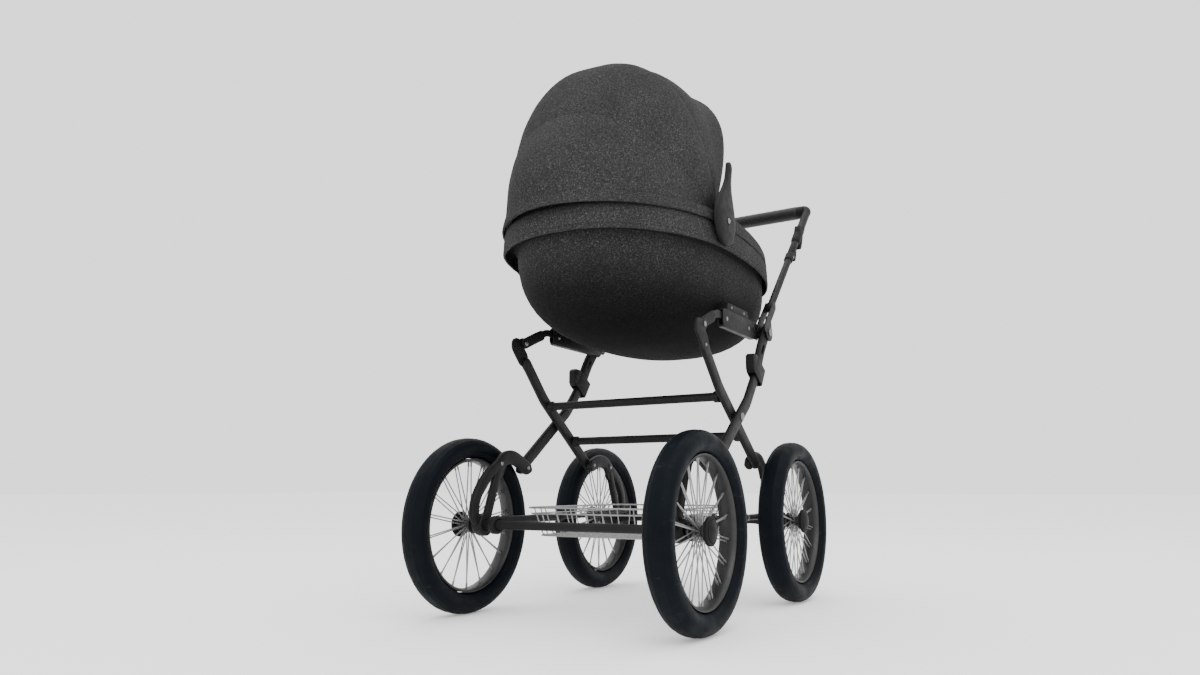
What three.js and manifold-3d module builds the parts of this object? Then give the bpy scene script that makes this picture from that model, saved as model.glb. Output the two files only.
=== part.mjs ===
// Classic baby stroller (pram): a carrycot with a folding hood on a scissor chassis
// with four spoked wheels, a wire basket and a height-adjustable folding handle.
// Millimetres, +Z up, the child's feet and the push handle towards +Y.
// Inside the main group y = 0 is the middle of the wheelbase and z = 0 the ground.
import * as THREE from "three";
import { mergeVertices } from "three/addons/utils/BufferGeometryUtils.js";
import Module from "manifold-3d";

const wasm = await Module();
wasm.setup();

// ---- driving dimensions ----
const WHEEL_R = 175;
const AXLE_Y = 257;
const WHEEL_X = 258;
const TYRE_HALF_WIDTH = 26.5;
const TYRE_MID_R = 154;
const TREAD_HALF_WIDTH = 7;
const RIM_R = 132.4;
const SPOKES = 18;
const HUB_OUT = 18;
const GAP = 0.3;

const FRAME_CENTRE_Y = 73; // the middle of the whole object, moved to the origin

// Layers across the width, each [inner x, outer x] of the right-hand side.
const REAR_BRACKET_X = [195, 209];
const LINK_X = [209.6, 215.4];
const RAIL_X = [206, 219];
const REAR_LEG_X = [209.5, 222.5];
const LEG_LAP_X = [216.2, 222.5];
const FRONT_BRACKET_X = [208.5, 222.5];
const FRONT_LEG_X = [223, 236];
const CHEEKS_X = [
  [219.6, 222.6],
  [236.6, 240.4],
];
const HANDLE_X = 230;

// Points of the side view, each [y, z].
const SCISSOR_PIVOT = [15, 393];
const HANDLE_HINGE = [190, 597];
const LINK_PIN = [-132, 565];
const REAR_LEG_TOP = [-154, 556];
const REAR_LEG_BEND = [-54, 446];
const REAR_LEG_END = [134, 302];
const FRONT_LEG_END = [-118, 291];
const FRONT_LEG_BEND = [62, 428];
const FRONT_LEG_TOP = [118, 492];
const NECK_MID = [154, 553];
const COLLAR_CENTRE = [122, 500];
const COLLAR_ANGLE = THREE.MathUtils.degToRad(56);

const LEG_WIDTH = 27;
const NECK_WIDTH = 34;
const PIN_R = 5;
const PIN_HOLE_R = 5.4;
const PIN_HEAD_R = 8.5;
const CROSSBAR_R = 9;

// The handle's line in the side view, from the point nearest its hinge upwards.
const HANDLE_FOOT = [176, 611];
const HANDLE_ANGLE = THREE.MathUtils.degToRad(45.2);
const HANDLE_LENGTH = 545;
const FORK_LENGTH = 68;
const HANDLE_TUBE_R = 8.5;
const HANDLE_BORE_R = 6.9;
const HANDLE_INNER_R = 6.2;
const LOWER_TUBE_END = 312;
const INNER_TUBE_START = 190;
const GRIP_R = 18;
const GRIP_HALF = 210;

// Longitudinal bars between the axles: an outer tube slides over an inner rod.
const SIDE_BAR_X = 186;
const SIDE_BAR_Z = 184;
const SIDE_TUBE_R = 8.3;
const SIDE_BORE_R = 6.8;
const SIDE_ROD_R = 5;

const BASKET = { halfTop: 170, halfBottom: 150, front: -190, back: 190, top: 210, bottom: 150 };

// Carrycot body: plan half sizes at the rim, and the shape of its sides.
const TUB = { y: 20, z: 735, depth: 190, half: 218, front: 342, rear: 438, wall: 9, power: 2.45 };
const VALANCE = { y: -20, half: 248, front: 325, rear: 492, low: 729.5, high: 774, wall: 4 };
const APRON = { low: 776, high: 852, wall: 6, front: 40 };
const HOOD_CENTRE = [-72, 781];
const HOOD_PIVOT = [-88, 781];
const HINGE_PLATE = { tip: [-56, 907], root: 50, point: 11, span: [250, 261] };
const HOOD_OPENING = THREE.MathUtils.degToRad(119);
const BOW_ANGLES = [40, 80, 119].map((d) => THREE.MathUtils.degToRad(d));
const BOW_START_R = 52;

// ---- materials ----
const finish = (color, roughness, metalness) =>
  new THREE.MeshStandardMaterial({ color, roughness, metalness });
const FRAME_PAINT = finish(0x2b2b2c, 0.5, 0.3);
const DARK_PLASTIC = finish(0x1c1c1d, 0.6, 0);
const TYRE_RUBBER = finish(0x10161c, 0.75, 0);
const STEEL = finish(0x77787a, 0.35, 0.9);
const FABRIC = finish(0x3f3f40, 0.95, 0);
const DARK_FABRIC = finish(0x1d1d1e, 0.95, 0);
const PADDING = finish(0xd9d6cf, 0.95, 0);
const GRIP_LEATHER = finish(0x19191a, 0.55, 0);

// ---- solids and how they are made ----
function solidFrom(geometry) {
  const bare = new THREE.BufferGeometry();
  bare.setAttribute("position", geometry.getAttribute("position"));
  if (geometry.index) bare.setIndex(geometry.index);
  const merged = mergeVertices(bare, 1e-4);
  const points = merged.getAttribute("position").array;
  const faces = [];
  for (let i = 0; i < merged.index.count; i += 3) {
    const [a, b, c] = merged.index.array.slice(i, i + 3);
    if (a !== b && b !== c && c !== a) faces.push([a, b, c]);
  }
  const corner = (i) => new THREE.Vector3().fromArray(points, 3 * i);
  const volume = faces.reduce(
    (sum, [a, b, c]) => sum + corner(a).dot(corner(b).cross(corner(c))),
    0,
  );
  if (volume < 0) faces.forEach((face) => face.reverse());
  return new wasm.Manifold(
    new wasm.Mesh({
      numProp: 3,
      vertProperties: new Float32Array(points),
      triVerts: new Uint32Array(faces.flat()),
    }),
  );
}

function geometryFrom(solid) {
  const mesh = solid.getMesh();
  const geometry = new THREE.BufferGeometry();
  geometry.setAttribute("position", new THREE.BufferAttribute(mesh.vertProperties, 3));
  geometry.setIndex(new THREE.BufferAttribute(mesh.triVerts, 1));
  geometry.computeVertexNormals();
  return geometry;
}

const join = (...solids) => solids.reduce((all, next) => all.add(next));
const cut = (solid, ...holes) => holes.reduce((left, hole) => left.subtract(hole), solid);

// Turns a shape drawn as (y, z) and extruded along its depth to stand across X.
const ACROSS = new THREE.Matrix4().makeBasis(
  new THREE.Vector3(0, 1, 0),
  new THREE.Vector3(0, 0, 1),
  new THREE.Vector3(1, 0, 0),
);

function plate(shape, [xFrom, xTo], curveSegments = 5) {
  const geometry = new THREE.ExtrudeGeometry(shape, {
    depth: xTo - xFrom,
    bevelEnabled: false,
    curveSegments,
  });
  geometry.translate(0, 0, xFrom);
  geometry.applyMatrix4(ACROSS);
  return solidFrom(geometry);
}

function disc([y, z], radius) {
  return new THREE.Shape().absarc(y, z, radius, 0, 2 * Math.PI, false);
}

const pin = (at, radius, span) => plate(disc(at, radius), span);

// A round hole whose facets lie outside its radius.
const HOLE_SIDES = 20;
const hole = (at, radius, span) =>
  plate(disc(at, radius / Math.cos(Math.PI / HOLE_SIDES)), span, HOLE_SIDES / 2);

// The outline of a bar of even width along a line of points, with round ends.
function strip(points, width) {
  const half = width / 2;
  const p = points.map(([y, z]) => new THREE.Vector2(y, z));
  const last = p.length - 1;
  const heading = (i) => p[i + 1].clone().sub(p[i]).normalize();
  const left = (v) => new THREE.Vector2(-v.y, v.x);
  const offsets = p.map((_, i) => {
    const before = left(heading(Math.max(i - 1, 0)));
    const after = left(heading(Math.min(i, last - 1)));
    const middle = before.clone().add(after).normalize();
    return middle.multiplyScalar(half / middle.dot(after));
  });
  const shape = new THREE.Shape();
  p.forEach((point, i) => {
    const at = point.clone().add(offsets[i]);
    if (i === 0) shape.moveTo(at.x, at.y);
    else shape.lineTo(at.x, at.y);
  });
  const endAngle = offsets[last].angle();
  shape.absarc(p[last].x, p[last].y, half, endAngle, endAngle - Math.PI, true);
  for (let i = last; i >= 0; i -= 1) {
    const at = p[i].clone().sub(offsets[i]);
    shape.lineTo(at.x, at.y);
  }
  const startAngle = offsets[0].angle() - Math.PI;
  shape.absarc(p[0].x, p[0].y, half, startAngle, startAngle - Math.PI, true);
  return shape;
}

function polygon(points) {
  return new THREE.Shape(points.map(([y, z]) => new THREE.Vector2(y, z)));
}

function rod(from, to, radius, sides = 12) {
  const a = new THREE.Vector3(...from);
  const b = new THREE.Vector3(...to);
  const geometry = new THREE.CylinderGeometry(radius, radius, a.distanceTo(b), sides);
  const turn = new THREE.Quaternion().setFromUnitVectors(
    new THREE.Vector3(0, 1, 0),
    b.clone().sub(a).normalize(),
  );
  geometry.applyQuaternion(turn);
  geometry.translate(...a.add(b).multiplyScalar(0.5).toArray());
  return solidFrom(geometry);
}

function box([x0, x1], [y0, y1], [z0, z1]) {
  const geometry = new THREE.BoxGeometry(x1 - x0, y1 - y0, z1 - z0);
  geometry.translate((x0 + x1) / 2, (y0 + y1) / 2, (z0 + z1) / 2);
  return solidFrom(geometry);
}

// A turned piece about X: the profile is [radius, x] points.
function turned(profile, segments, phase = 0) {
  const points = profile.map(([r, x]) => new THREE.Vector2(r, x));
  const geometry = new THREE.LatheGeometry(points, segments, phase);
  geometry.rotateZ(-Math.PI / 2);
  return solidFrom(geometry);
}

const loopProfile = (profile) => [...profile, profile[0]];

// A closed skin from rows of points: row i joins row i + 1, each row is a ring.
function ringSkin(rows) {
  const count = rows[0].length;
  const positions = rows.flat(2);
  const faces = [];
  const wrap = rows.length;
  for (let i = 0; i < wrap; i += 1) {
    for (let j = 0; j < count; j += 1) {
      const a = i * count + j;
      const b = i * count + ((j + 1) % count);
      const c = ((i + 1) % wrap) * count + j;
      const d = ((i + 1) % wrap) * count + ((j + 1) % count);
      faces.push(a, c, b, b, c, d);
    }
  }
  const geometry = new THREE.BufferGeometry();
  geometry.setAttribute("position", new THREE.Float32BufferAttribute(positions, 3));
  geometry.setIndex(faces);
  return solidFrom(geometry);
}

// A closed body from rings stacked bottom to top, closed by a fan at each end.
function stackSkin(rows, lowCentre, highCentre) {
  const count = rows[0].length;
  const positions = [...rows.flat(2), ...lowCentre, ...highCentre];
  const low = rows.length * count;
  const faces = [];
  for (let i = 0; i + 1 < rows.length; i += 1) {
    for (let j = 0; j < count; j += 1) {
      const next = (j + 1) % count;
      const a = i * count + j;
      const b = i * count + next;
      const c = (i + 1) * count + j;
      const d = (i + 1) * count + next;
      faces.push(a, b, c, b, d, c);
    }
  }
  for (let j = 0; j < count; j += 1) {
    const next = (j + 1) % count;
    faces.push(low, next, j);
    const top = (rows.length - 1) * count;
    faces.push(low + 1, top + j, top + next);
  }
  const geometry = new THREE.BufferGeometry();
  geometry.setAttribute("position", new THREE.Float32BufferAttribute(positions, 3));
  geometry.setIndex(faces);
  return solidFrom(geometry);
}

// ---- the object's tree ----
const stroller = new THREE.Group();
stroller.position.y = -FRAME_CENTRE_Y;

function addNode(name, solid, material, mirror = false) {
  const mesh = new THREE.Mesh(geometryFrom(solid), material);
  mesh.name = name;
  if (mirror) mesh.scale.x = -1;
  stroller.add(mesh);
  return mesh;
}

function addPair(name, solid, material) {
  addNode(`${name}_right`, solid, material);
  addNode(`${name}_left`, solid, material, true);
}

// ---- wheels ----
const TYRE_SEGMENTS = 32;
function tyre() {
  const flat = WHEEL_R / Math.cos(Math.PI / TYRE_SEGMENTS); // facets touch the ground flat
  const side = (angle) => [
    TYRE_MID_R + (WHEEL_R - TYRE_MID_R) * Math.cos(angle),
    TYRE_HALF_WIDTH * Math.sin(angle),
  ];
  const angles = [0.9, 1.57, 2.2, 2.75];
  const right = angles.map(side);
  const left = right.map(([r, x]) => [r, -x]).reverse();
  const inner = [RIM_R + 1, 0];
  const tread = [
    [flat, -TREAD_HALF_WIDTH],
    [flat, TREAD_HALF_WIDTH],
  ];
  return turned(loopProfile([...tread, ...right, inner, ...left]), TYRE_SEGMENTS, Math.PI / TYRE_SEGMENTS);
}

function wheelRim() {
  const band = turned(
    loopProfile([
      [RIM_R, -15],
      [RIM_R, 15],
      [RIM_R - 4, 15],
      [RIM_R - 6.5, 0],
      [RIM_R - 4, -15],
    ]),
    TYRE_SEGMENTS,
  );
  const hub = turned(
    loopProfile([
      [5.7, -22],
      [12, -22],
      [17, -14],
      [10, 0],
      [17, 14],
      [14, HUB_OUT],
      [5.7, HUB_OUT],
    ]),
    12,
  );
  const spokes = [];
  for (let i = 0; i < SPOKES; i += 1) {
    const angle = (2 * Math.PI * i) / SPOKES;
    const side = i % 2 ? 1 : -1;
    const foot = [side * 13, 14 * Math.cos(angle), 14 * Math.sin(angle)];
    const head = [0, (RIM_R - 4) * Math.cos(angle), (RIM_R - 4) * Math.sin(angle)];
    spokes.push(rod(foot, head, 1.5, 3));
  }
  return join(band, hub, ...spokes);
}

function hubCap() {
  return turned(
    [
      [0, HUB_OUT + GAP],
      [25.5, HUB_OUT + GAP],
      [25.5, HUB_OUT + 5],
      [20, HUB_OUT + 10],
      [9, HUB_OUT + 13],
      [0, HUB_OUT + 13],
    ],
    20,
  );
}

const tyreSolid = tyre();
const rimSolid = wheelRim();
const hubCapSolid = hubCap();
for (const [end, y] of [
  ["front", -AXLE_Y],
  ["rear", AXLE_Y],
]) {
  for (const [side, sign] of [
    ["right", 1],
    ["left", -1],
  ]) {
    const pieces = [
      [`${end}_${side}_tyre`, tyreSolid, TYRE_RUBBER],
      [`${end}_${side}_spoked_rim`, rimSolid, STEEL],
      [`${end}_${side}_hub_cap`, hubCapSolid, DARK_PLASTIC],
    ];
    for (const [name, solid, material] of pieces) {
      const mesh = addNode(name, solid, material, sign < 0);
      mesh.position.set(sign * WHEEL_X, y, WHEEL_R);
    }
  }
}

// ---- axles, side bars, basket and brake ----
function axle(y) {
  const spindle = WHEEL_X + HUB_OUT;
  const half = [
    [5.2, spindle],
    [5.2, 226],
    [12, 225],
    [12, 192],
    [8.5, 160],
  ];
  const mirrored = half.map(([r, x]) => [r, -x]).reverse();
  const beam = turned([[0, spindle], ...half, ...mirrored, [0, -spindle]], 16);
  return beam.translate(0, y, WHEEL_R);
}

function sideRod() {
  const bar = rod([SIDE_BAR_X, AXLE_Y - 16, SIDE_BAR_Z], [SIDE_BAR_X, -185, SIDE_BAR_Z], SIDE_ROD_R);
  const socket = box([178, 193], [AXLE_Y - 24, AXLE_Y + 3], [WHEEL_R + 12.4, WHEEL_R + 21]);
  const drop = box([179, 193], [AXLE_Y - 24, AXLE_Y - 12.6], [WHEEL_R + 1, WHEEL_R + 20]);
  return join(bar, socket, drop);
}

function sideTube() {
  const back = -20;
  const front = -AXLE_Y + 16;
  const outer = rod([SIDE_BAR_X, front, SIDE_BAR_Z], [SIDE_BAR_X, back, SIDE_BAR_Z], SIDE_TUBE_R);
  const bore = rod([SIDE_BAR_X, front + 12, SIDE_BAR_Z], [SIDE_BAR_X, back + 1, SIDE_BAR_Z], SIDE_BORE_R);
  const eye = pin([-AXLE_Y, WHEEL_R], 18, [179, 193]);
  const axleHole = hole([-AXLE_Y, WHEEL_R], 12.4, [170, 200]);
  return cut(join(cut(outer, bore), eye), axleHole);
}

function basket() {
  const corners = (half, front, back, z) => [
    [-half, front, z],
    [half, front, z],
    [half, back, z],
    [-half, back, z],
  ];
  const { halfTop, halfBottom, front, back, top, bottom } = BASKET;
  const slope = halfTop - halfBottom;
  const outerLow = corners(halfBottom, front + slope, back - slope, bottom);
  const outerHigh = corners(halfTop, front, back, top);
  const innerHigh = corners(halfTop - 4, front + 4, back - 4, top);
  const innerLow = corners(halfBottom - 4, front + slope + 4, back - slope - 4, bottom + 4);
  const shell = stackSkin(
    [outerLow, outerHigh, innerHigh, innerLow],
    [0, 0, bottom],
    [0, 0, bottom + 4],
  );
  const hooks = [];
  for (const y of [60, 150]) {
    for (const side of [-1, 1]) {
      const span = [side * 158, side * (SIDE_BAR_X - SIDE_ROD_R - GAP)].sort((a, b) => a - b);
      hooks.push(box(span, [y - 5, y + 5], [SIDE_BAR_Z - 4, SIDE_BAR_Z + 4]));
    }
  }
  return join(shell, ...hooks);
}

function brakePedal() {
  const centre = [AXLE_Y, WHEEL_R];
  const arms = [-60, 60].map((x) => {
    const span = [x - 6, x + 6];
    const arm = plate(strip([centre, [AXLE_Y + 46, WHEEL_R - 22]], 12), span);
    return cut(join(pin(centre, 15, span), arm), hole(centre, 8.9, [x - 7, x + 7]));
  });
  const tread = box([-78, 78], [AXLE_Y + 38, AXLE_Y + 72], [WHEEL_R - 29, WHEEL_R - 22]);
  return join(...arms, tread);
}

addNode("rear_axle", axle(AXLE_Y), FRAME_PAINT);
addNode("front_axle", axle(-AXLE_Y), FRAME_PAINT);
addPair("side_rod", sideRod(), STEEL);
addPair("side_tube", sideTube(), FRAME_PAINT);
addNode("basket", basket(), STEEL);
addNode("brake_pedal", brakePedal(), DARK_PLASTIC);

// ---- suspension brackets: a bowed arm and a straight arm up to a knuckle, then an arch ----
// The boss round the axle reaches almost to the wheel's hub.
const HUB_BOSS_END = 234.5;
function bracket(span, forward, legEnd) {
  const at = (y, z) => [forward * y, z];
  const knuckle = at(212, 298);
  const hub = at(AXLE_Y, WHEEL_R);
  const bowed = strip([knuckle, at(254, 272), at(284, 230), at(287, 190), hub], 22);
  const straight = strip([knuckle, hub], 22);
  const arch = strip([knuckle, at(168, 313), legEnd], 30);
  const body = join(
    plate(bowed, span),
    plate(straight, span),
    plate(arch, span),
    pin(knuckle, 21, span),
    pin(hub, 22, [span[0], HUB_BOSS_END]),
  );
  return cut(body, hole(hub, 12.4, [span[0] - 1, HUB_BOSS_END + 1]));
}

addPair("front_bracket", bracket(FRONT_BRACKET_X, -1, FRONT_LEG_END), FRAME_PAINT);
addPair("rear_bracket", bracket(REAR_BRACKET_X, 1, REAR_LEG_END), FRAME_PAINT);

// ---- scissor legs ----
function rearLeg() {
  const lapStart = [-126, 525];
  const tube = plate(
    strip([lapStart, REAR_LEG_BEND, SCISSOR_PIVOT, REAR_LEG_END], LEG_WIDTH),
    REAR_LEG_X,
  );
  const lap = plate(strip([REAR_LEG_TOP, lapStart], LEG_WIDTH), LEG_LAP_X);
  const cap = pin(REAR_LEG_TOP, 19, LEG_LAP_X);
  const ear = pin(LINK_PIN, 14, LEG_LAP_X);
  const bridge = plate(strip([REAR_LEG_TOP, LINK_PIN], 24), LEG_LAP_X);
  const clearance = pin(LINK_PIN, 42, [208, LEG_LAP_X[0]]);
  const shaft = pin(SCISSOR_PIVOT, PIN_R, [REAR_LEG_X[1] - 1, 236.5]);
  const head = pin(SCISSOR_PIVOT, PIN_HEAD_R, [236.4, 239.4]);
  const leg = cut(tube, clearance, pin(SCISSOR_PIVOT, PIN_HEAD_R, [200, 210.5]));
  const boss = pin(SCISSOR_PIVOT, PIN_HEAD_R, [208, 211]);
  return cut(
    join(leg, lap, cap, ear, bridge, shaft, head, boss),
    hole(LINK_PIN, PIN_HOLE_R, [200, 230]),
  );
}

function frontLeg() {
  const tube = plate(
    strip([FRONT_LEG_END, SCISSOR_PIVOT, FRONT_LEG_BEND, FRONT_LEG_TOP], LEG_WIDTH),
    FRONT_LEG_X,
  );
  const neck = plate(strip([FRONT_LEG_TOP, NECK_MID, HANDLE_HINGE], NECK_WIDTH), FRONT_LEG_X);
  const along = new THREE.Vector2(HANDLE_HINGE[0] - NECK_MID[0], HANDLE_HINGE[1] - NECK_MID[1])
    .normalize()
    .multiplyScalar(11);
  const slot = strip(
    [
      [NECK_MID[0] - along.x, NECK_MID[1] - along.y],
      [NECK_MID[0] + along.x, NECK_MID[1] + along.y],
    ],
    9,
  );
  const hinge = join(
    pin(HANDLE_HINGE, PIN_R, [203, 243]),
    pin(HANDLE_HINGE, PIN_HEAD_R, [202.5, 205.5]),
    pin(HANDLE_HINGE, PIN_HEAD_R, [240.9, 243.9]),
  );
  const through = [FRONT_LEG_X[0] - 1, FRONT_LEG_X[1] + 1];
  const leg = cut(join(tube, neck), plate(slot, through), hole(SCISSOR_PIVOT, PIN_HOLE_R, through));
  return join(leg, hinge);
}

const crossbar = ([y, z]) => pin([y, z], CROSSBAR_R, [-REAR_LEG_X[0] + GAP, REAR_LEG_X[0] - GAP]);

addPair("rear_leg", rearLeg(), FRAME_PAINT);
addPair("front_leg", frontLeg(), FRAME_PAINT);
addNode("upper_crossbar", crossbar([-39, 431]), FRAME_PAINT);
addNode("lower_crossbar", crossbar([66, 357]), FRAME_PAINT);

// ---- carrier rails, their sliding links and the lock collars ----
const LINK_SLOPE = -0.042;
const LINK_BEND = [-50, 603];
const linkHeight = (y) => LINK_BEND[1] + LINK_SLOPE * (y - LINK_BEND[0]);

function carrierRail() {
  const outline = polygon([
    [-30, 583],
    [-22, 577],
    [150, 577],
    [172, 582],
    [172, 612],
    [160, 617.5],
    [-24, 617.5],
    [-30, 612],
  ]);
  const channel = polygon([
    [-40, linkHeight(-40) - 10.4],
    [142, linkHeight(142) - 10.4],
    [142, linkHeight(142) + 10.4],
    [-40, linkHeight(-40) + 10.4],
  ]);
  const body = join(plate(outline, RAIL_X), plate(strip([[165, 597], HANDLE_HINGE], 30), RAIL_X));
  return cut(
    body,
    plate(channel, [LINK_X[0] - 0.9, LINK_X[1] + 0.9]),
    hole(HANDLE_HINGE, PIN_HOLE_R, [200, 225]),
  );
}

function slidingLink() {
  const bar = plate(strip([LINK_PIN, LINK_BEND, [127, linkHeight(127)]], 16), LINK_X);
  const eye = pin(LINK_PIN, 13, LINK_X);
  const shaft = pin(LINK_PIN, PIN_R, [LINK_X[1] - 1, 223.5]);
  const head = pin(LINK_PIN, PIN_HEAD_R, [222.8, 225.6]);
  return join(bar, eye, shaft, head);
}

function lockCollar() {
  const along = [Math.cos(COLLAR_ANGLE), Math.sin(COLLAR_ANGLE)];
  const across = [-along[1], along[0]];
  const place = ([s, n]) => [
    COLLAR_CENTRE[0] + s * along[0] + n * across[0],
    COLLAR_CENTRE[1] + s * along[1] + n * across[1],
  ];
  const body = [[-22, -25], [22, -25], [24, 26], [12, 47], [2, 49], [-22, 30]].map(place);
  const channel = [[-40, -21.5], [40, -21.5], [40, 21.5], [-40, 21.5]].map(place);
  return cut(
    plate(polygon(body), [219.5, 239.8]),
    plate(polygon(channel), [FRONT_LEG_X[0] - 0.5, FRONT_LEG_X[1] + 0.5]),
  );
}

addPair("carrier_rail", carrierRail(), FRAME_PAINT);
addPair("sliding_link", slidingLink(), FRAME_PAINT);
addPair("lock_collar", lockCollar(), DARK_PLASTIC);

// ---- handle ----
function onHandle(s, n = 0) {
  const along = [Math.cos(HANDLE_ANGLE), Math.sin(HANDLE_ANGLE)];
  return [
    HANDLE_FOOT[0] + s * along[0] - n * along[1],
    HANDLE_FOOT[1] + s * along[1] + n * along[0],
  ];
}
const handleRod = (from, to, radius, sides) =>
  rod([HANDLE_X, ...onHandle(from)], [HANDLE_X, ...onHandle(to)], radius, sides);

function handleSide() {
  const cheeks = CHEEKS_X.map((span) => {
    const arm = plate(strip([onHandle(-8), onHandle(FORK_LENGTH + 6)], 22), span);
    const knuckle = pin(HANDLE_HINGE, 20, span);
    return cut(join(arm, knuckle), hole(HANDLE_HINGE, PIN_HOLE_R, [span[0] - 1, span[1] + 1]));
  });
  const throat = plate(strip([onHandle(FORK_LENGTH + 4), onHandle(FORK_LENGTH + 10)], 22), [
    CHEEKS_X[0][0],
    CHEEKS_X[1][1],
  ]);
  const tube = handleRod(FORK_LENGTH + 8, LOWER_TUBE_END, HANDLE_TUBE_R);
  const collar = handleRod(LOWER_TUBE_END - 26, LOWER_TUBE_END + 2, 11.5);
  const bore = handleRod(FORK_LENGTH + 24, LOWER_TUBE_END + 4, HANDLE_BORE_R);
  return cut(join(...cheeks, throat, tube, collar), bore);
}

function handleBow() {
  const arm = join(
    handleRod(INNER_TUBE_START, LOWER_TUBE_END + 12, HANDLE_INNER_R),
    handleRod(LOWER_TUBE_END + 6, LOWER_TUBE_END + 62, 9.5),
    handleRod(LOWER_TUBE_END + 60, LOWER_TUBE_END + 128, 12.5),
    handleRod(LOWER_TUBE_END + 126, HANDLE_LENGTH, 10.5),
  );
  const bar = pin(onHandle(HANDLE_LENGTH), 9, [-HANDLE_X, HANDLE_X]);
  const corner = pin(onHandle(HANDLE_LENGTH), 17.5, [GRIP_HALF + GAP, 241]);
  const half = join(arm, corner);
  return join(half, half.mirror([1, 0, 0]), bar);
}

function grip() {
  const span = [-GRIP_HALF, GRIP_HALF];
  const centre = onHandle(HANDLE_LENGTH);
  return cut(plate(disc(centre, GRIP_R), span, 8), hole(centre, 9.3, [-GRIP_HALF - 1, GRIP_HALF + 1]));
}

function heightLever() {
  const top = LOWER_TUBE_END + 124;
  return plate(
    polygon([
      onHandle(top, -13),
      onHandle(top - 2, -17),
      onHandle(top - 40, -30),
      onHandle(top - 52, -27),
      onHandle(top - 50, -13.2),
    ]),
    [224, 236],
  );
}

function releaseTrigger() {
  const top = LOWER_TUBE_END + 50;
  return plate(
    polygon([
      onHandle(top, -10),
      onHandle(top - 3, -14),
      onHandle(top - 34, -26),
      onHandle(top - 42, -22),
      onHandle(top - 32, -10.2),
    ]),
    [225, 235],
  );
}

addPair("handle_side", handleSide(), FRAME_PAINT);
addNode("handle_bow", handleBow(), FRAME_PAINT);
addNode("handle_grip", grip(), GRIP_LEATHER);
addPair("height_lever", heightLever(), DARK_PLASTIC);
addPair("release_trigger", releaseTrigger(), DARK_PLASTIC);

// ---- carrycot ----
// A plan outline with rounded corners: one power for the head end, one for the foot end.
function planRing({ y, half, front, rear }, z, scale, inset, count, powers) {
  const ring = [];
  for (let i = 0; i < count; i += 1) {
    const angle = (2 * Math.PI * i) / count;
    const c = Math.cos(angle);
    const s = Math.sin(angle);
    const ahead = s < 0;
    const power = 2 / (ahead ? powers[0] : powers[1]);
    const reach = (ahead ? front : rear) * scale - inset;
    const px = (half * scale - inset) * Math.sign(c) * Math.abs(c) ** power;
    const py = y + reach * Math.sign(s) * Math.abs(s) ** power;
    ring.push([px, py, z]);
  }
  return ring;
}

const TUB_POWERS = [2.3, 2.5];
const VALANCE_POWERS = [2.2, 2.25];
const tubScale = (fall) => (1 - fall ** TUB.power) ** (1 / TUB.power);

function tub() {
  const falls = [0.985, 0.93, 0.82, 0.6, 0.3, 0];
  const outer = falls.map((f) =>
    planRing(TUB, TUB.z - TUB.depth * f, tubScale(f), 0, 32, TUB_POWERS),
  );
  const innerFalls = [0, 0.3, 0.6, 0.82, 0.92];
  const inner = innerFalls.map((f) =>
    planRing(TUB, TUB.z - TUB.depth * f, tubScale(f), TUB.wall, 32, TUB_POWERS),
  );
  const floor = TUB.z - TUB.depth;
  return stackSkin([...outer, ...inner], [0, TUB.y, floor], [0, TUB.y, TUB.z - 0.92 * TUB.depth]);
}

function mattress() {
  const size = { y: 40, half: 128, front: 220, rear: 250 };
  const rows = [
    planRing(size, 572, 0.94, 0, 24, TUB_POWERS),
    planRing(size, 582, 1, 0, 24, TUB_POWERS),
    planRing(size, 606, 1, 0, 24, TUB_POWERS),
    planRing(size, 616, 0.94, 0, 24, TUB_POWERS),
  ];
  return stackSkin(rows, [0, size.y, 572], [0, size.y, 616]);
}

function valance() {
  const ring = (z, inset) => planRing(VALANCE, z, 1, inset, 36, VALANCE_POWERS);
  const { low, high, wall } = VALANCE;
  return ringSkin([ring(low, 0), ring(high, 0), ring(high, wall), ring(low, wall)]);
}

function apronDome(inset) {
  const { low, high } = APRON;
  const levels = [0, 0.25, 0.5, 0.75, 0.92];
  const rows = levels.map((t) => {
    const scale = (1 - t ** 3) ** (1 / 3);
    const z = low + (high - low - inset) * t;
    return planRing(VALANCE, z, scale, inset, 36, VALANCE_POWERS);
  });
  return stackSkin(rows, [0, VALANCE.y, low], [0, VALANCE.y, high - inset]);
}

function apron() {
  const hollow = apronDome(APRON.wall).translate(0, 0, -0.01);
  const below = box([-300, 300], [-500, 600], [APRON.low - 5, APRON.low]);
  const headEnd = box([-300, 300], [-500, APRON.front], [700, 900]);
  return cut(apronDome(0), hollow, below, headEnd);
}

const adaptor = box([198, RAIL_X[1]], [-8, 118], [617.8, 634]);

addNode("carrycot_tub", tub(), DARK_FABRIC);
addNode("mattress", mattress(), PADDING);
addNode("valance", valance(), FABRIC);
addNode("apron", apron(), FABRIC);
addPair("carrycot_adaptor", adaptor, DARK_PLASTIC);

// ---- hood ----
// A slice of the hood stands in a plane through the pivot axis, at an angle up from the
// head end. Its reach from the axis and its half width change smoothly with that angle.
const HOOD_REACH = new THREE.SplineCurve(
  [[0, 291], [20, 297], [45, 321], [70, 373], [95, 393], [119, 462]].map(
    ([x, y]) => new THREE.Vector2(x, y),
  ),
);
const HOOD_HALF = new THREE.SplineCurve(
  [[0, 243], [20, 226], [60, 233], [95, 226], [119, 214]].map(([x, y]) => new THREE.Vector2(x, y)),
);
const degreesOf = (angle) => THREE.MathUtils.radToDeg(angle);

function heightOnCurve(curve, x) {
  let low = 0;
  let high = 1;
  for (let i = 0; i < 30; i += 1) {
    const middle = (low + high) / 2;
    if (curve.getPoint(middle).x < x) low = middle;
    else high = middle;
  }
  return curve.getPoint(low).y;
}

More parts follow.
